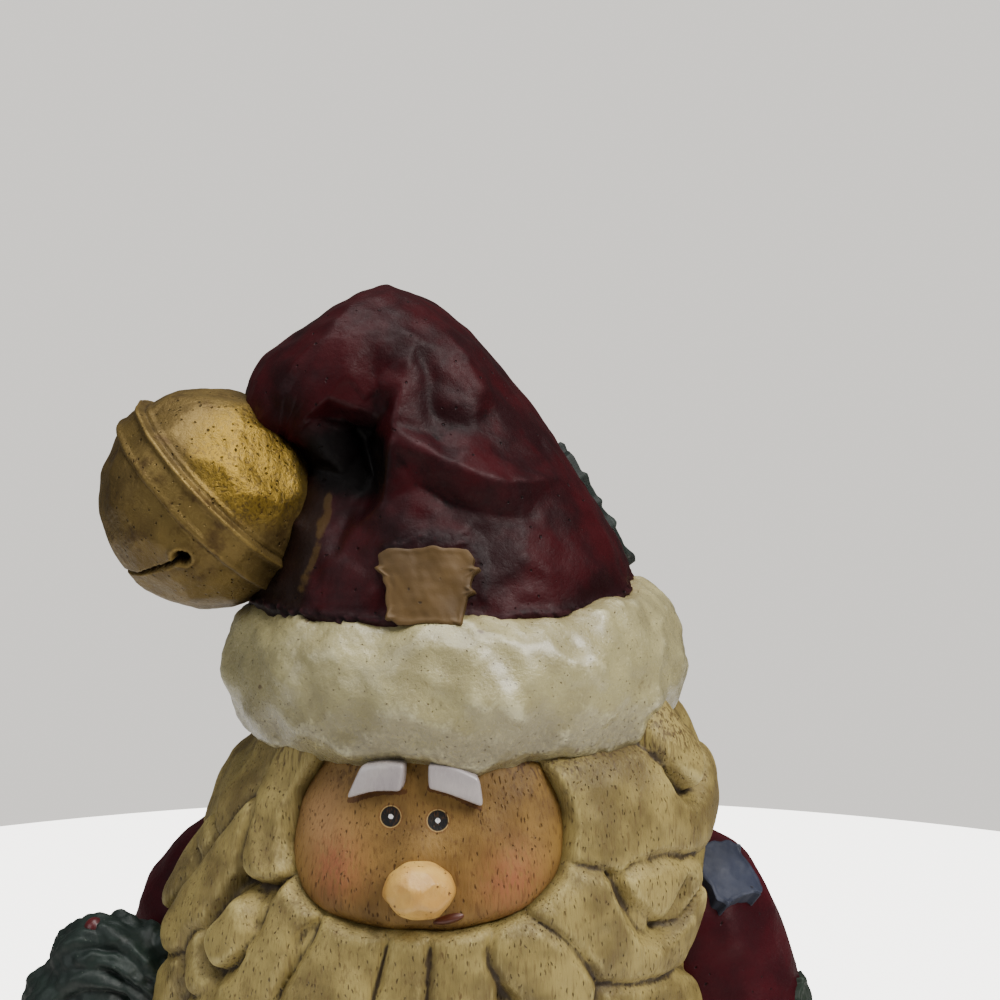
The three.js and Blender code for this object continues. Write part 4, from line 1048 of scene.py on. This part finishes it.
# Painted shade: the lower half of the brim, which faces away from the light above, is painted darker.
lower = step(0.35, -0.75, np.sin(section))


def pearl_paint(tree, colour, place, fine):
    """Brown grime at the hat, broken by the brush, painted shade over the lower half, and hair-fine dark
    strokes here and there.
    """
    dirty = maths(tree, "MULTIPLY", attribute(tree, "grime"), fade(tree, fine, 0.35, 0.62))
    colour = over(tree, colour, dirty, 0.8, shade(120, 94, 50))
    # Painted shade over the lower half of the brim.
    lower = maths(tree, "MULTIPLY", attribute(tree, "lower"), fade(tree, fine, 0.25, 0.6))
    colour = over(tree, colour, lower, 0.7, shade(106, 96, 72))
    few = use(tree, FLECKS, {"Place": place, "Cells": (240, 240, 240), "Share": 0.3, "Size": 0.13})["Mask"]
    colour = over(tree, colour, few, 0.85, shade(88, 66, 38))
    turned = put(tree, "VectorRotate", {"Vector": place, "Angle": 0.6}, rotation_type="Y_AXIS").outputs[0]
    streaks = {"Place": turned, "Cells": (1500, 1500, 200), "Share": 0.22, "Size": 0.2}
    strokes = use(tree, FLECKS, streaks)["Mask"]
    return over(tree, colour, strokes, 0.5, shade(112, 96, 64))


PEARL = paint(
    "pearl white", shade(170, 161, 116), shade(146, 137, 98), dust_and_highlight=shade(228, 222, 182),
    wash_and_shade=shade(84, 66, 36), wash_and_shade_amount=0.85, dust_and_highlight_amount=0.42, rough=(0.2, 0.44), fleck=shade(98, 76, 44),
    cells=(2000, 2000, 2000), share=0.16, size=0.25, grain=(1500, 1500, 1500), relief=1.0, coat=0.6,
    extra=pearl_paint)
skin("brim", places, PEARL, rows_loop=True, hollow=hollows(places, 9, 0.4, True), grime=grime, lower=lower)

# %% [markdown]
# ## Bell
#
# A crotal bell: a ball with a raised band round its middle, and a slit that runs under it between two round
# holes. It is painted in old gold over brown, and its flats shine. The grid turns about the bell's own
# axis, so the band is a profile of the latitude, and the slit is cut by distance: a place sinks where it
# lies close to the plane of the slit, or close to a hole.

# %% The bell's skin
BELL_MIDDLE = np.array([-34.5, -9, 184])
BELL_RADIUS = 16.3
BELL_AXIS = unit([0.72, 0.05, 0.69])
BELL_HOLE = unit([-0.04, -0.92, -0.39])
BELL_FLATS = [((0.66, -0.6, 0.42), 15.5), ((0.1, -0.72, 0.7), 15.7), ((-0.3, -0.95, 0.1), 16.0),
              ((-0.8, -0.6, -0.1), 15.9), ((-0.3, -0.6, -0.75), 15.8), ((0.3, -0.85, -0.5), 15.9),
              ((0, 0.1, -1), 15.9), ((0.15, -0.1, 1), 15.8), ((-0.5, 0.7, 0.4), 15.8),
              ((-0.3, 0.6, -0.7), 15.8), ((-0.95, 0.1, 0.2), 15.9)]
SLIT_HALF_WIDTH, SLIT_DEPTH = 0.15, 2.0
SLIT_TURN, SLIT_END = np.radians(-8), np.radians(110)
HOLE_RADIUS, HOLE_DEPTH = 1.05, 2.2

u, v = grid(182, 300)
latitude = np.pi * (u - 0.5)
east = unit(np.cross(BELL_AXIS, BELL_HOLE))
north = np.cross(east, BELL_AXIS)
way = (np.sin(latitude)[..., None] * BELL_AXIS + (np.cos(latitude) * np.cos(2 * np.pi * v))[..., None] * east
       + (np.cos(latitude) * np.sin(2 * np.pi * v))[..., None] * north)
places = pared(BELL_MIDDLE + BELL_RADIUS * way, BELL_MIDDLE, BELL_FLATS, 0.2)
places = faceted(places, 9, 12, chance(13), 0.5)
along_axis = BELL_RADIUS * np.sin(latitude)
band = step(-2.5, -1.7, along_axis) * step(3.4, 2.6, along_axis)
band_shape = 0.7 * band + 0.75 * hump(along_axis - 2.3, 0.42) + 0.35 * hump(along_axis + 1.5, 0.5)
band_shape += 0.28 * hump(along_axis - 3.6, 0.3)
RIBS_ROUND = 120
ribs = np.sin(RIBS_ROUND * 2 * np.pi * v + 2 * np.sin(9 * v * 2 * np.pi))
ribs *= step(0.1, 0.9, np.sin(2 * np.pi * (v - 0.28)))
band_shape += 0.07 * ribs * step(-1.8, -1.2, along_axis) * step(2.2, 1.6, along_axis)
slit_way = np.cross(east, BELL_HOLE)
slit_way = slit_way * np.cos(SLIT_TURN) + np.cross(BELL_HOLE, slit_way) * np.sin(SLIT_TURN)
if slit_way @ BELL_AXIS > 0:
    slit_way = -slit_way
from_slit = (way @ np.cross(BELL_HOLE, slit_way)) * BELL_RADIUS + 0.12 * lumps(places, 3, chance(14))
along_slit = np.arctan2(way @ slit_way, way @ BELL_HOLE)
in_slit = step(-0.02, 0.03, along_slit) * step(SLIT_END + 0.03, SLIT_END - 0.02, along_slit)
slit = step(SLIT_HALF_WIDTH + 0.25, SLIT_HALF_WIDTH - 0.1, np.abs(from_slit)) * in_slit
far_hole = BELL_HOLE * np.cos(SLIT_END) + slit_way * np.sin(SLIT_END)
hole_gaps = [np.linalg.norm(way - hole, axis=-1) for hole in (BELL_HOLE, far_hole)]
hole_gap = np.min(hole_gaps, axis=0) * BELL_RADIUS
hole = step(HOLE_RADIUS + 0.15, HOLE_RADIUS - 0.25, hole_gap)
lip = 0.25 * hump(hole_gap - HOLE_RADIUS - 0.7, 0.4)
depth = np.maximum(SLIT_DEPTH * slit, HOLE_DEPTH * hole)
wear = 0.1 * lumps(places, 5, chance(15)) + 0.02 * lumps(places, 1.3, chance(16))
places += way * (band_shape + lip * (1 - slit) + wear - depth)[..., None]
dark = np.maximum(slit, hole)


def gold_paint(tree, colour, place, fine):
    """Worn brown patches under the gold, a painted highlight of bright gold on the upper flat, and black
    inside the slit.
    """
    worn = fade(tree, noise(tree, place, 190.0, 4.0, 0.7), 0.5, 0.68)
    colour = over(tree, colour, worn, 0.85, shade(74, 56, 32))
    leaf = maths(tree, "MULTIPLY", attribute(tree, "leaf"), fade(tree, fine, 0.35, 0.55))
    colour = over(tree, colour, leaf, 0.8, shade(146, 119, 48))
    return mixed(tree, fade(tree, attribute(tree, "inside"), 0.2, 0.7), colour, shade(16, 11, 6))


BELL_GOLD = paint(
    "old gold", shade(118, 98, 54), shade(92, 75, 42), dust_and_highlight=shade(160, 134, 72), wash_and_shade=shade(34, 24, 11),
    wash_and_shade_amount=0.95, dust_and_highlight_amount=0.4, rough=(0.36, 0.56), fleck=shade(40, 28, 12),
    cells=(1100, 1100, 1100), share=0.4, size=0.25, grain=(2000, 2000, 2000), relief=0.6, shine=0.25,
    extra=gold_paint)
gold_tree = BELL_GOLD.node_tree
# The painted highlight is also more metallic.
metal_share = maths(gold_tree, "ADD", maths(gold_tree, "MULTIPLY", attribute(gold_tree, "leaf"), 0.35), 0.6)
gold_tree.links.new(metal_share, gold_tree.nodes["Principled BSDF"].inputs["Metallic"])
# Painted highlight: brighter gold on the upper right flat, where the key light's reflection falls.
leaf = step(2, 5, along_axis) * step(0.74, 0.94, way @ np.array([0.58, -0.68, 0.45]))
skin("bell", places, BELL_GOLD, hollow=hollows(places, 7, 0.4), inside=dark, leaf=leaf)

# %% [markdown]
# ## Patches
#
# Four mended places were modelled as scraps of cloth with a ragged edge and a few fat stitches across it.
# Each is a round grid squared off into a rough rectangle. It bends round what carries it, stands a little
# proud, and dives under the surface at its rim. The stitches are bumps in both the outline and the height,
# so they need no pieces of their own.

# %% The patch's form
PATCH_RISE = 0.9


def scrap(middle, normal, half_width, half_height, bend, stitches, number, taper=0.0):
    """A scrap of cloth, narrower by a taper below and wider above. Its outline is 1 / max(|cos|, |sin|),
    held under 1.28 and roughened. A stitch adds a hump to the outline and to the height near the rim, and
    the whole sinks by x^2 / (2 bend)."""
    random = chance(number)
    out = unit(normal)
    up = unit(np.array([0, 0, 1.0]) - out * out[2])
    right = np.cross(up, out)
    u, v = grid(54, 172)
    turn = 2 * np.pi * v
    squared = np.minimum(1 / np.maximum(np.abs(np.cos(turn)), np.abs(np.sin(turn))), 1.28)
    ragged = sum(random.uniform(0.25, 1) * np.sin(k * turn + random.uniform(0, 6.3)) / k
                 for k in range(3, 24))
    gaps = [np.abs((turn - stitch + np.pi) % (2 * np.pi) - np.pi) for stitch in stitches]
    knobs = sum((hump(gap, 0.07) for gap in gaps), np.zeros(turn.shape))
    outward = np.minimum(u / 0.7, 1.0)
    under = step(0.7, 1.0, u)
    outline = squared * (1 + 0.075 * ragged) + 0.16 * knobs
    above = half_height * outward * outline * np.sin(turn)
    aside = half_width * outward * outline * np.cos(turn) * (1 + taper * above / half_height)
    rim = hump(outward - 0.93, 0.07) * (1 - under)
    height = PATCH_RISE + rim * (0.12 + 0.55 * knobs) - 3.2 * under
    height -= aside ** 2 / (2 * bend)
    places = np.array(middle) + aside[..., None] * right + above[..., None] * up + height[..., None] * out
    wrinkles = 0.17 * lumps(places, 4.5, random) + 0.03 * lumps(places, 1.6, random)
    return places + out * (wrinkles * (1 - under))[..., None]


CLOTH = dict(cells=(700, 700, 700), share=0.12, size=0.2, grain=(700, 700, 700), relief=0.3, wash_and_shade_amount=0.9,
             dust_and_highlight_amount=0.6, rough=(0.5, 0.7), shine=0.35)
PATCHES = {
    "patch_tan": ((0.2, -28.9, 174.8), (0, -0.95, 0.3), 5.9, 5.3, 28, (0.42, -0.1, -0.75, 2.75, 3.8), 17,
                  shade(90, 68, 36), shade(74, 55, 28), shade(112, 88, 50), shade(42, 28, 12)),
    "patch_blue": ((42.7, -4.2, 127.1), (0.42, -0.5, 0.76), 4.6, 4.9, 13, (-1.1, -2.2, 0.6, 2.2), 18,
                   shade(44, 49, 66), shade(36, 40, 54), shade(70, 74, 86), shade(18, 15, 20)),
    "patch_green": ((56, 0.9, 102.9), (0.94, -0.1, 0.33), 5, 5.6, 13, (0.5, 1.8, 3.3, 4.6), 19,
                    shade(36, 48, 38), shade(26, 34, 28), shade(62, 74, 60), shade(10, 12, 10)),
    "patch_hat_green": ((20.6, 8.4, 181.5), (0.76, 0.38, 0.53), 6.5, 9.6, 20,
                        (0.2, 0.9, 1.7, 2.6, 3.0, 3.4, 4.2, 5.2), 20,
                        shade(34, 44, 40), shade(26, 32, 30), shade(62, 72, 66), shade(10, 12, 12)),
}
for name, (middle, normal, wide, high, bend, stitches, number, main, second, dust_and_highlight, wash_and_shade) in PATCHES.items():
    places = scrap(middle, normal, wide, high, bend, stitches, number, 0.2 if name == "patch_tan" else 0.0)
    cloth = paint(name.replace("_", " "), main, second, dust_and_highlight=dust_and_highlight, wash_and_shade=wash_and_shade, fleck=wash_and_shade, **CLOTH)
    skin(name, places, cloth, hollow=hollows(places, 4, 0.4))

# %% [markdown]
# ## Coat
#
# The photograph cuts the figure off at the chest, so the coat is guessed in keeping: a heavy wine red robe
# with soft folds that grow towards the hem, a roll of fur at the hem and a strip of it down the front. Its
# skin is the same kind of upright surface as the head: a level ellipse at each height, plus the folds.

# %% The coat's surface
COAT_HALF_WIDTH = profile([[10, 46], [30, 50], [55, 49], [80, 47], [100, 43], [115, 37], [126, 25], [134, 8]])
COAT_HALF_DEPTH = profile([[10, 36], [30, 40], [55, 40.5], [80, 38.5], [100, 34.5], [115, 29], [126, 20],
                           [134, 6]])
COAT_LOW, COAT_HIGH = 9, 134
COAT_RADIUS = 44
FOLDS_END, FOLDS_FADE = 105, 70
CREASE_COUNT = 26
HEM_HEIGHT = 17
FRONT_FUR_TOP = 84


def on_coat(turn, z, height=0.0):
    """A place on the coat, out by a height. Its folds are two sine waves round it that end at z 105."""
    fade_up = np.clip((FOLDS_END - z) / FOLDS_FADE, 0, 1)
    fold = fade_up * (1.5 * np.sin(9 * turn + 0.5 + z * 0.012) + 0.7 * np.sin(16 * turn + 2))
    reach = 1 / np.hypot(np.sin(turn) / COAT_HALF_WIDTH(z), np.cos(turn) / COAT_HALF_DEPTH(z)) + fold + height
    return np.stack([reach * np.sin(turn), -reach * np.cos(turn), z + 0 * reach], -1)


COAT_WINE = paint("coat wine", shade(60, 9, 18), shade(45, 9, 16), dust_and_highlight_amount=0.5, **WINE)
u, v = grid(124, 250)
turn, z = 2 * np.pi * v, COAT_LOW + (COAT_HIGH - COAT_LOW) * u
creases = np.zeros(u.shape)
random = chance(21)
for _ in range(CREASE_COUNT):
    start = random.uniform(-np.pi, np.pi)
    low, high = random.uniform(24, 60), random.uniform(62, 112)
    drift = random.uniform(-0.2, 0.2)
    knots = [(start * COAT_RADIUS, low, 0.6), ((start + drift / 2) * COAT_RADIUS, (low + high) / 2, 1.8),
             ((start + drift) * COAT_RADIUS, high, 0.5)]
    across = (turn - np.pi) * COAT_RADIUS
    creases -= random.uniform(0.5, 1.1) * np.exp(-nearness(across, z, knots, 3) ** 2 * 6)
places = faceted(on_coat(turn - np.pi, z, creases), 22, 40, chance(22), 0.5)
places = roughened(places, 8, 0.18, 23)
skin("coat", places, COAT_WINE, hollow=hollows(places, 7, 0.6),
     ends=[[0, 0, COAT_LOW], [0, 0, COAT_HIGH]])

# %% Fur: a band round the hem and a strip down the front
FUR_PEARL = paint(
    "fur pearl", shade(184, 172, 126), shade(160, 146, 102), dust_and_highlight=shade(208, 200, 160),
    wash_and_shade=shade(76, 54, 22), wash_and_shade_amount=0.95, dust_and_highlight_amount=0.35, rough=(0.34, 0.54),
    fleck=shade(126, 102, 62), cells=(1000, 1000, 1000), share=0.25, size=0.2, relief=0.4, coat=0.15)


def tufted(places, rows_loop, size, number):
    """Carved tufts: dents at the meeting lines of soft bumps, 1 - |bumps|, over a faceted form."""
    places = faceted(places, 40 if rows_loop else 16, 8, chance(number), 0.5, rows_loop)
    tuft = np.abs(lumps(places, size, chance(number + 1)))
    tuft = blurred(np.minimum(tuft, 0.8), 1, rows_loop)
    fine = 0.1 * lumps(places, 2, chance(number + 2))
    return places + facing(places, rows_loop) * (0.8 * tuft - 0.4 + fine)[..., None]


u, v = grid(320, 54, loop=True)
turn, section = 2 * np.pi * u, 2 * np.pi * v
thickness = 1.8 + 3.4 * np.cos(section) + 0.5 * np.sin(11 * turn)
places = on_coat(turn, HEM_HEIGHT + 7.5 * np.sin(section), thickness)
places = tufted(places, True, 7, 24)
skin("fur_hem", places, FUR_PEARL, rows_loop=True, hollow=hollows(places, 5, 0.5, True))
u, v = grid(96, 44)
section = 2 * np.pi * v
end = (1 - np.abs(2 * u - 1) ** 12) ** 0.5
up = HEM_HEIGHT + (FRONT_FUR_TOP - HEM_HEIGHT) * u
places = on_coat(end * 0.19 * np.cos(section), up, end * 3.4 * np.sin(section))
places = tufted(places, False, 6, 27)
skin("fur_front", places, FUR_PEARL, hollow=hollows(places, 5, 0.5))

# %% [markdown]
# ## Arms, cuffs and mittens
#
# A sleeve is a round section carried along a smooth path through shoulder, elbow and wrist, and a mitten is
# a ball with a smaller ball for the thumb. The sleeves wrinkle where the elbow bends: these wrinkles are
# waves along the path, strongest on its inner side.

# %% Limbs along a path
CAP_SHARE, CAP_BULGE = 0.08, 0.5


def limb(path, radii, rows, columns):
    """Round sections along a line. At each step two directions are made square to the line, and the place
    goes round them by cosine and sine. A small share of the rows at each end rounds off to a cap."""
    u, v = grid(rows, columns)
    along = np.clip((u - CAP_SHARE) / (1 - 2 * CAP_SHARE), 0, 1)
    middle = line(path)(along)
    ahead = line(path)(np.minimum(along + 0.01, 1)) - line(path)(np.maximum(along - 0.01, 0))
    ahead /= np.linalg.norm(ahead, axis=-1, keepdims=True)
    aside = np.cross(np.array([0, -1, 0.3]), ahead)
    aside /= np.linalg.norm(aside, axis=-1, keepdims=True)
    above = np.cross(ahead, aside)
    radius = profile([[i / (len(radii) - 1), radius] for i, radius in enumerate(radii)])(along)
    cap = np.clip(np.minimum(u, 1 - u) / CAP_SHARE, 0, 1)
    round_cap = np.sqrt(1 - (1 - cap) ** 2)
    past = np.where(u < 0.5, -1, 1) * (1 - cap) * radius * CAP_BULGE
    turn = 2 * np.pi * v
    return (middle + aside * (round_cap * radius * np.cos(turn))[..., None]
            + above * (round_cap * radius * np.sin(turn))[..., None] + ahead * past[..., None]), u, turn


def sleeve(path, radii, number, bend_turn):
    """A sleeve with wrinkles: sine waves along it, highest at the elbow and on the bend's inner side."""
    places, u, turn = limb(path, radii, 112, 98)
    wobble = 0.7 * lumps(places, 14, chance(number))
    waves = np.maximum(np.sin(34 * u + wobble + 1.2 * np.cos(turn)), -0.3)
    elbow = hump(u - 0.56, 0.2) * (0.35 + 0.65 * step(-0.6, 1, np.cos(turn - bend_turn)))
    places = faceted(places, 14, 10, chance(number + 1), 0.6)
    rise = 0.9 * elbow * waves + 0.15 * lumps(places, 7, chance(number + 2))
    return places + facing(places) * rise[..., None]


CUFF_RADIUS = 12.3
ARMS = {
    "right": dict(path=[(27, 3, 126), (37.2, 3, 117), (43, 2, 100), (47.5, 0, 84), (45.5, -13, 74),
                        (40, -25, 68)],
                  radii=[10, 13, 13, 13, 11.5, 10], cuff=[(42.5, -20, 71), (38, -30, 65.5)],
                  mitten=((33.5, -36.5, 57), (8.6, 8.2, 11)), thumb=((26.5, -41, 61), (4, 4, 7)), number=30),
    "left": dict(path=[(-28.5, 2, 127), (-36, 3, 117), (-42, 3, 100), (-47, 1, 84), (-46, -8, 74),
                       (-43, -17, 70)],
                 radii=[10, 12.8, 13.2, 13, 11.5, 10], cuff=[(-45, -12, 71.5), (-41.5, -22, 69.5)],
                 mitten=((-40.5, -26, 74.5), (9, 8.4, 9.4)), thumb=((-48, -28, 79), (4, 4, 7)), number=40),
}
MITTEN_GREEN = paint(
    "mitten green", shade(36, 50, 36), shade(26, 36, 28), dust_and_highlight=shade(68, 82, 64), wash_and_shade=shade(8, 10, 8),
    dust_and_highlight_amount=0.6, rough=(0.42, 0.6), cells=(700, 700, 700), share=0.2, size=0.2, relief=0.4)
for side, arm in ARMS.items():
    places = sleeve(arm["path"], arm["radii"], arm["number"], np.pi / 2)
    skin(f"sleeve_{side}", places, COAT_WINE, hollow=hollows(places, 5, 0.5))
    places, u, turn = limb(arm["cuff"], [CUFF_RADIUS, CUFF_RADIUS], 60, 120)
    places = tufted(places, False, 6, arm["number"] + 3)
    skin(f"cuff_{side}", places, FUR_PEARL, hollow=hollows(places, 5, 0.5))
    hand = []
    for part, (middle, size) in enumerate((arm["mitten"], arm["thumb"])):
        shape = faceted(ball(middle, size, 62, 76), 8, 9, chance(arm["number"] + 6 + part), 0.8)
        hand.append(roughened(shape, 5, 0.15, arm["number"] + 8 + part))
    skin(f"mitten_{side}", hand, MITTEN_GREEN, hollow=[hollows(shape, 5, 0.4) for shape in hand])

# %% [markdown]
# ## Wreath
#
# The wreath is a fat ring of evergreen, carved as soft folds that run along it like twisted leaves, with
# dark cuts between them. The folds are the size, without its sign, of a wave pattern: that gives round tops
# and sharp valleys. To make them long and slanting, the waves aren't read at the real places. They are read
# on a second ring that is much smaller round but just as fat, and whose section turns once as it goes
# round. The two ends still meet.

# %% The ring of evergreen
WREATH_MIDDLE = np.array([-41.5, -13, 96.5])
WREATH_RADIUS, WREATH_TUBE = 17.2, 8.4
CLUMPS = 14
SMALL_RING = 0.42


def angle_gap(turn, middle):
    """The angle from a middle, between minus pi and pi."""
    return (turn - middle + np.pi) % (2 * np.pi) - np.pi


def on_wreath(turn, section, height=0.0):
    """A place on the ring, out by a height. The turn is clockwise from the top, as seen from the front. The
    ring swells at its upper left, and is low beside that and at the beard."""
    clump = np.abs(np.sin(CLUMPS / 2 * turn + section * 0.5))
    fat = WREATH_TUBE * (0.9 + 0.12 * clump) + height
    swell = 1.3 * hump(angle_gap(turn, -0.6), 0.4) - 4 * hump(angle_gap(turn, 0.05), 0.3)
    swell -= 1.2 * hump(angle_gap(turn, -1.3), 0.4)
    out = WREATH_RADIUS + swell + fat * np.cos(section)
    return WREATH_MIDDLE + np.stack([out * np.sin(turn), 0.9 * fat * np.sin(section), out * np.cos(turn)], -1)


u, v = grid(376, 134, loop=True)
turn, section = 2 * np.pi * u, 2 * np.pi * v
slant = section + turn
short = WREATH_RADIUS * SMALL_RING + WREATH_TUBE * np.cos(slant)
drawn_out = np.stack([short * np.sin(turn), WREATH_TUBE * np.sin(slant), short * np.cos(turn)], -1)
folds = np.abs(lumps(drawn_out, 7.5, chance(50))) ** 0.75
creases = np.abs(lumps(drawn_out, 3.6, chance(51))) ** 0.8
height = 1.5 * folds + 0.8 * creases * np.clip(folds, 0.3, 1) - 1.3
places = on_wreath(turn, section, blurred(height, 1, True))
places = roughened(places, 2.2, 0.12, 52, rows_loop=True)
NEEDLE_GREEN = paint(
    "needle green", shade(28, 42, 36), shade(20, 31, 28), dust_and_highlight=shade(78, 92, 84), wash_and_shade=shade(5, 8, 8),
    wash_and_shade_amount=1.0, dust_and_highlight_amount=0.8, rough=(0.42, 0.62), fleck=shade(84, 94, 82), cells=(1400, 1400, 1400),
    share=0.08, size=0.2, relief=0.4, shine=0.4)
skin("wreath", places, NEEDLE_GREEN, rows_loop=True, hollow=hollows(places, 4, 0.6, True))

# %% Berries, half sunk in the wreath, as (turn, section)
BERRY_RADIUS = 1.7
BERRIES = [(-0.44, -0.3), (1.9, -1.4), (2.6, -1.2), (2.85, -1.7), (3.6, -1.1), (4.4, -1.4)]
BERRY_RED = paint(
    "berry red", shade(84, 18, 22), shade(58, 13, 16), dust_and_highlight=shade(112, 44, 44), wash_and_shade=shade(28, 6, 6),
    rough=(0.3, 0.45), share=0.06, size=0.2, coat=0.2)
berries = []
for turn, section in BERRIES:
    middle = on_wreath(np.array(turn), np.array(section), -0.4)
    berries.append(ball(middle, (BERRY_RADIUS, BERRY_RADIUS, BERRY_RADIUS), 22, 30))
skin("berries", berries, BERRY_RED, hollow=[hollows(berry, 2, 0.3) for berry in berries])

# %% [markdown]
# ## Boots and foot
#
# Two boot toes look out under the hem, and the figure stands on a low oval foot of snow. Its underside is
# flat and lies on the floor, at the same height as the casting's own, so the figure rests and does not
# float.

# %% Boots
BOOT_BLACK = paint(
    "boot black", shade(30, 23, 20), shade(18, 14, 13), dust_and_highlight=shade(64, 50, 42), wash_and_shade=shade(5, 4, 4),
    rough=(0.22, 0.38), fleck=shade(74, 54, 40), cells=(800, 800, 800), share=0.12, size=0.2, coat=0.5)
for name, middle in (("boot_left", -19), ("boot_right", 19)):
    boot = faceted(ball((middle, -34, 9), (12.5, 13, 8.5), 74, 96), 9, 11, chance(60 + middle), 0.7)
    boot = roughened(boot, 7, 0.2, 61)
    skin(name, boot, BOOT_BLACK, hollow=hollows(boot, 5, 0.4))

# %% The foot of snow
FOOT_HALF_WIDTH, FOOT_HALF_DEPTH = 56.0, 46.0
FOOT_REACH = profile([[0, 0], [0.35, 0.985], [0.42, 1.0], [0.62, 0.995], [0.72, 0.96], [0.8, 0.88], [1, 0]])
FOOT_RISE = profile([[0, 0], [0.36, 0], [0.46, 1.6], [0.6, 5.6], [0.7, 7.6], [0.8, 8.4], [1, 9]])
u, v = grid(84, 200)
turn = 2 * np.pi * v
reach, rise = FOOT_REACH(u), FOOT_RISE(u)
places = np.stack([reach * FOOT_HALF_WIDTH * np.cos(turn), reach * FOOT_HALF_DEPTH * np.sin(turn), rise], -1)
snow = 0.35 * lumps(places, 16, chance(63)) + 0.15 * lumps(places, 5, chance(64))
places += facing(places) * (snow * step(0.42, 0.6, u))[..., None]
SNOW_WHITE = paint(
    "snow white", shade(196, 190, 170), shade(176, 168, 146), dust_and_highlight=shade(216, 212, 198),
    wash_and_shade=shade(92, 74, 44), rough=(0.4, 0.6), fleck=shade(140, 122, 88), cells=(800, 800, 800), share=0.16,
    size=0.2, relief=0.3)
skin("foot", places, SNOW_WHITE, hollow=hollows(places, 5, 0.4), ends=[[0, 0, 0], [0, 0, 9]])

# %% [markdown]
# ## Stage, light and camera
#
# The photograph was taken close up, from just above the face, under soft daylight from above. The floor is
# pale and runs far back, so the background is as pale as it is there. The camera stands where the picture's
# own lines put it: 30 cm in front, 5 degrees to the side, and looking down by 8 degrees.

# %% Floor and world
FLOOR_RADIUS, FLOOR_CORNERS = 0.46, 180
FLOOR_GLOW = 4.2
SKY_ON_THE_FIGURE, SKY_SEEN = 0.14, 1.36
round_edge = 2 * np.pi * np.arange(FLOOR_CORNERS) / FLOOR_CORNERS
edge = np.stack([FLOOR_RADIUS * np.cos(round_edge), FLOOR_RADIUS * np.sin(round_edge), 0 * round_edge], -1)
floor_mesh = bpy.data.meshes.new("floor")
floor_mesh.from_pydata(edge.tolist(), [], [list(range(FLOOR_CORNERS))])
floor = bpy.data.objects.new("floor", floor_mesh)
bpy.context.scene.collection.objects.link(floor)
floor_paint = bpy.data.materials.new("floor white")
floor_paint.use_nodes = True
floor_surface = floor_paint.node_tree.nodes["Principled BSDF"]
floor_surface.inputs["Base Color"].default_value = shade(246, 244, 240)
floor_surface.inputs["Emission Color"].default_value = shade(246, 244, 240)
floor_seen = floor_paint.node_tree.nodes.new("ShaderNodeLightPath").outputs["Is Camera Ray"]
floor_glow = maths(floor_paint.node_tree, "MULTIPLY", floor_seen, FLOOR_GLOW)
floor_paint.node_tree.links.new(floor_glow, floor_surface.inputs["Emission Strength"])
floor_surface.inputs["Roughness"].default_value = 0.7
floor_mesh.materials.append(floor_paint)
floor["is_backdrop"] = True

world = bpy.data.worlds.new("daylight")
bpy.context.scene.world = world
world.use_nodes = True
sky = world.node_tree.nodes["Background"]
sky.inputs["Color"].default_value = shade(232, 228, 222)
seen = world.node_tree.nodes.new("ShaderNodeLightPath").outputs["Is Camera Ray"]
strength = world.node_tree.nodes.new("ShaderNodeMapRange")
strength.inputs["To Min"].default_value = SKY_ON_THE_FIGURE
strength.inputs["To Max"].default_value = SKY_SEEN
world.node_tree.links.new(seen, strength.inputs["Value"])
world.node_tree.links.new(strength.outputs["Result"], sky.inputs["Strength"])
print("the floor lies at z 0, and the world is a pale grey")


# %% Lamps: a wide soft one above, one from the upper right in front, and a weak fill from the left
def lamp(name, size, power, place, aim, tint):
    """A square area lamp that looks from its place to an aim, both in metres."""
    light = bpy.data.lights.new(name, "AREA")
    light.size = size
    light.energy = power
    light.color = tint
    holder = bpy.data.objects.new(name, light)
    bpy.context.scene.collection.objects.link(holder)
    holder.location = place
    way = np.array(aim) - np.array(place)
    flat = float(np.hypot(way[0], way[1]))
    tilt, turn = np.arctan2(flat, -way[2]), np.arctan2(way[1], way[0]) - np.pi / 2
    holder.rotation_euler = (float(tilt), 0, float(turn))
    return holder


lamp("key light", 0.36, 8.0, (0.52, -0.36, 0.72), (0, 0, 0.14), (1.0, 0.98, 0.94))
lamp("left fill", 0.5, 1.6, (-0.62, -0.42, 0.5), (0, 0, 0.14), (0.97, 0.99, 1.0))
lamp("top light", 0.6, 7.0, (0.0, -0.05, 0.95), (0, 0, 0.1), (1.0, 0.99, 0.97))

# %% Camera
CAMERA_PLACE = (0.03392, -0.29818, 0.225)
CAMERA_TURN = (np.radians(82.0), 0.0, np.radians(5.0))
view = bpy.data.cameras.new("photo view")
view.lens = 72
view.sensor_width = 36
view.sensor_fit = "HORIZONTAL"
view.clip_start = 0.01
camera = bpy.data.objects.new("photo view", view)
bpy.context.scene.collection.objects.link(camera)
camera.location = CAMERA_PLACE
camera.rotation_euler = [float(angle) for angle in CAMERA_TURN]
bpy.context.scene.camera = camera

# %% Sizes: the boxes of the casting and of the skin, in millimetres
SKIN_BOX = [list(corner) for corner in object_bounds()]
for label, box in (("casting", CAD_BOX), ("skin", SKIN_BOX)):
    print(label, [[round(value * 1000, 1) for value in corner] for corner in box])
print(len(PIECES), "pieces")
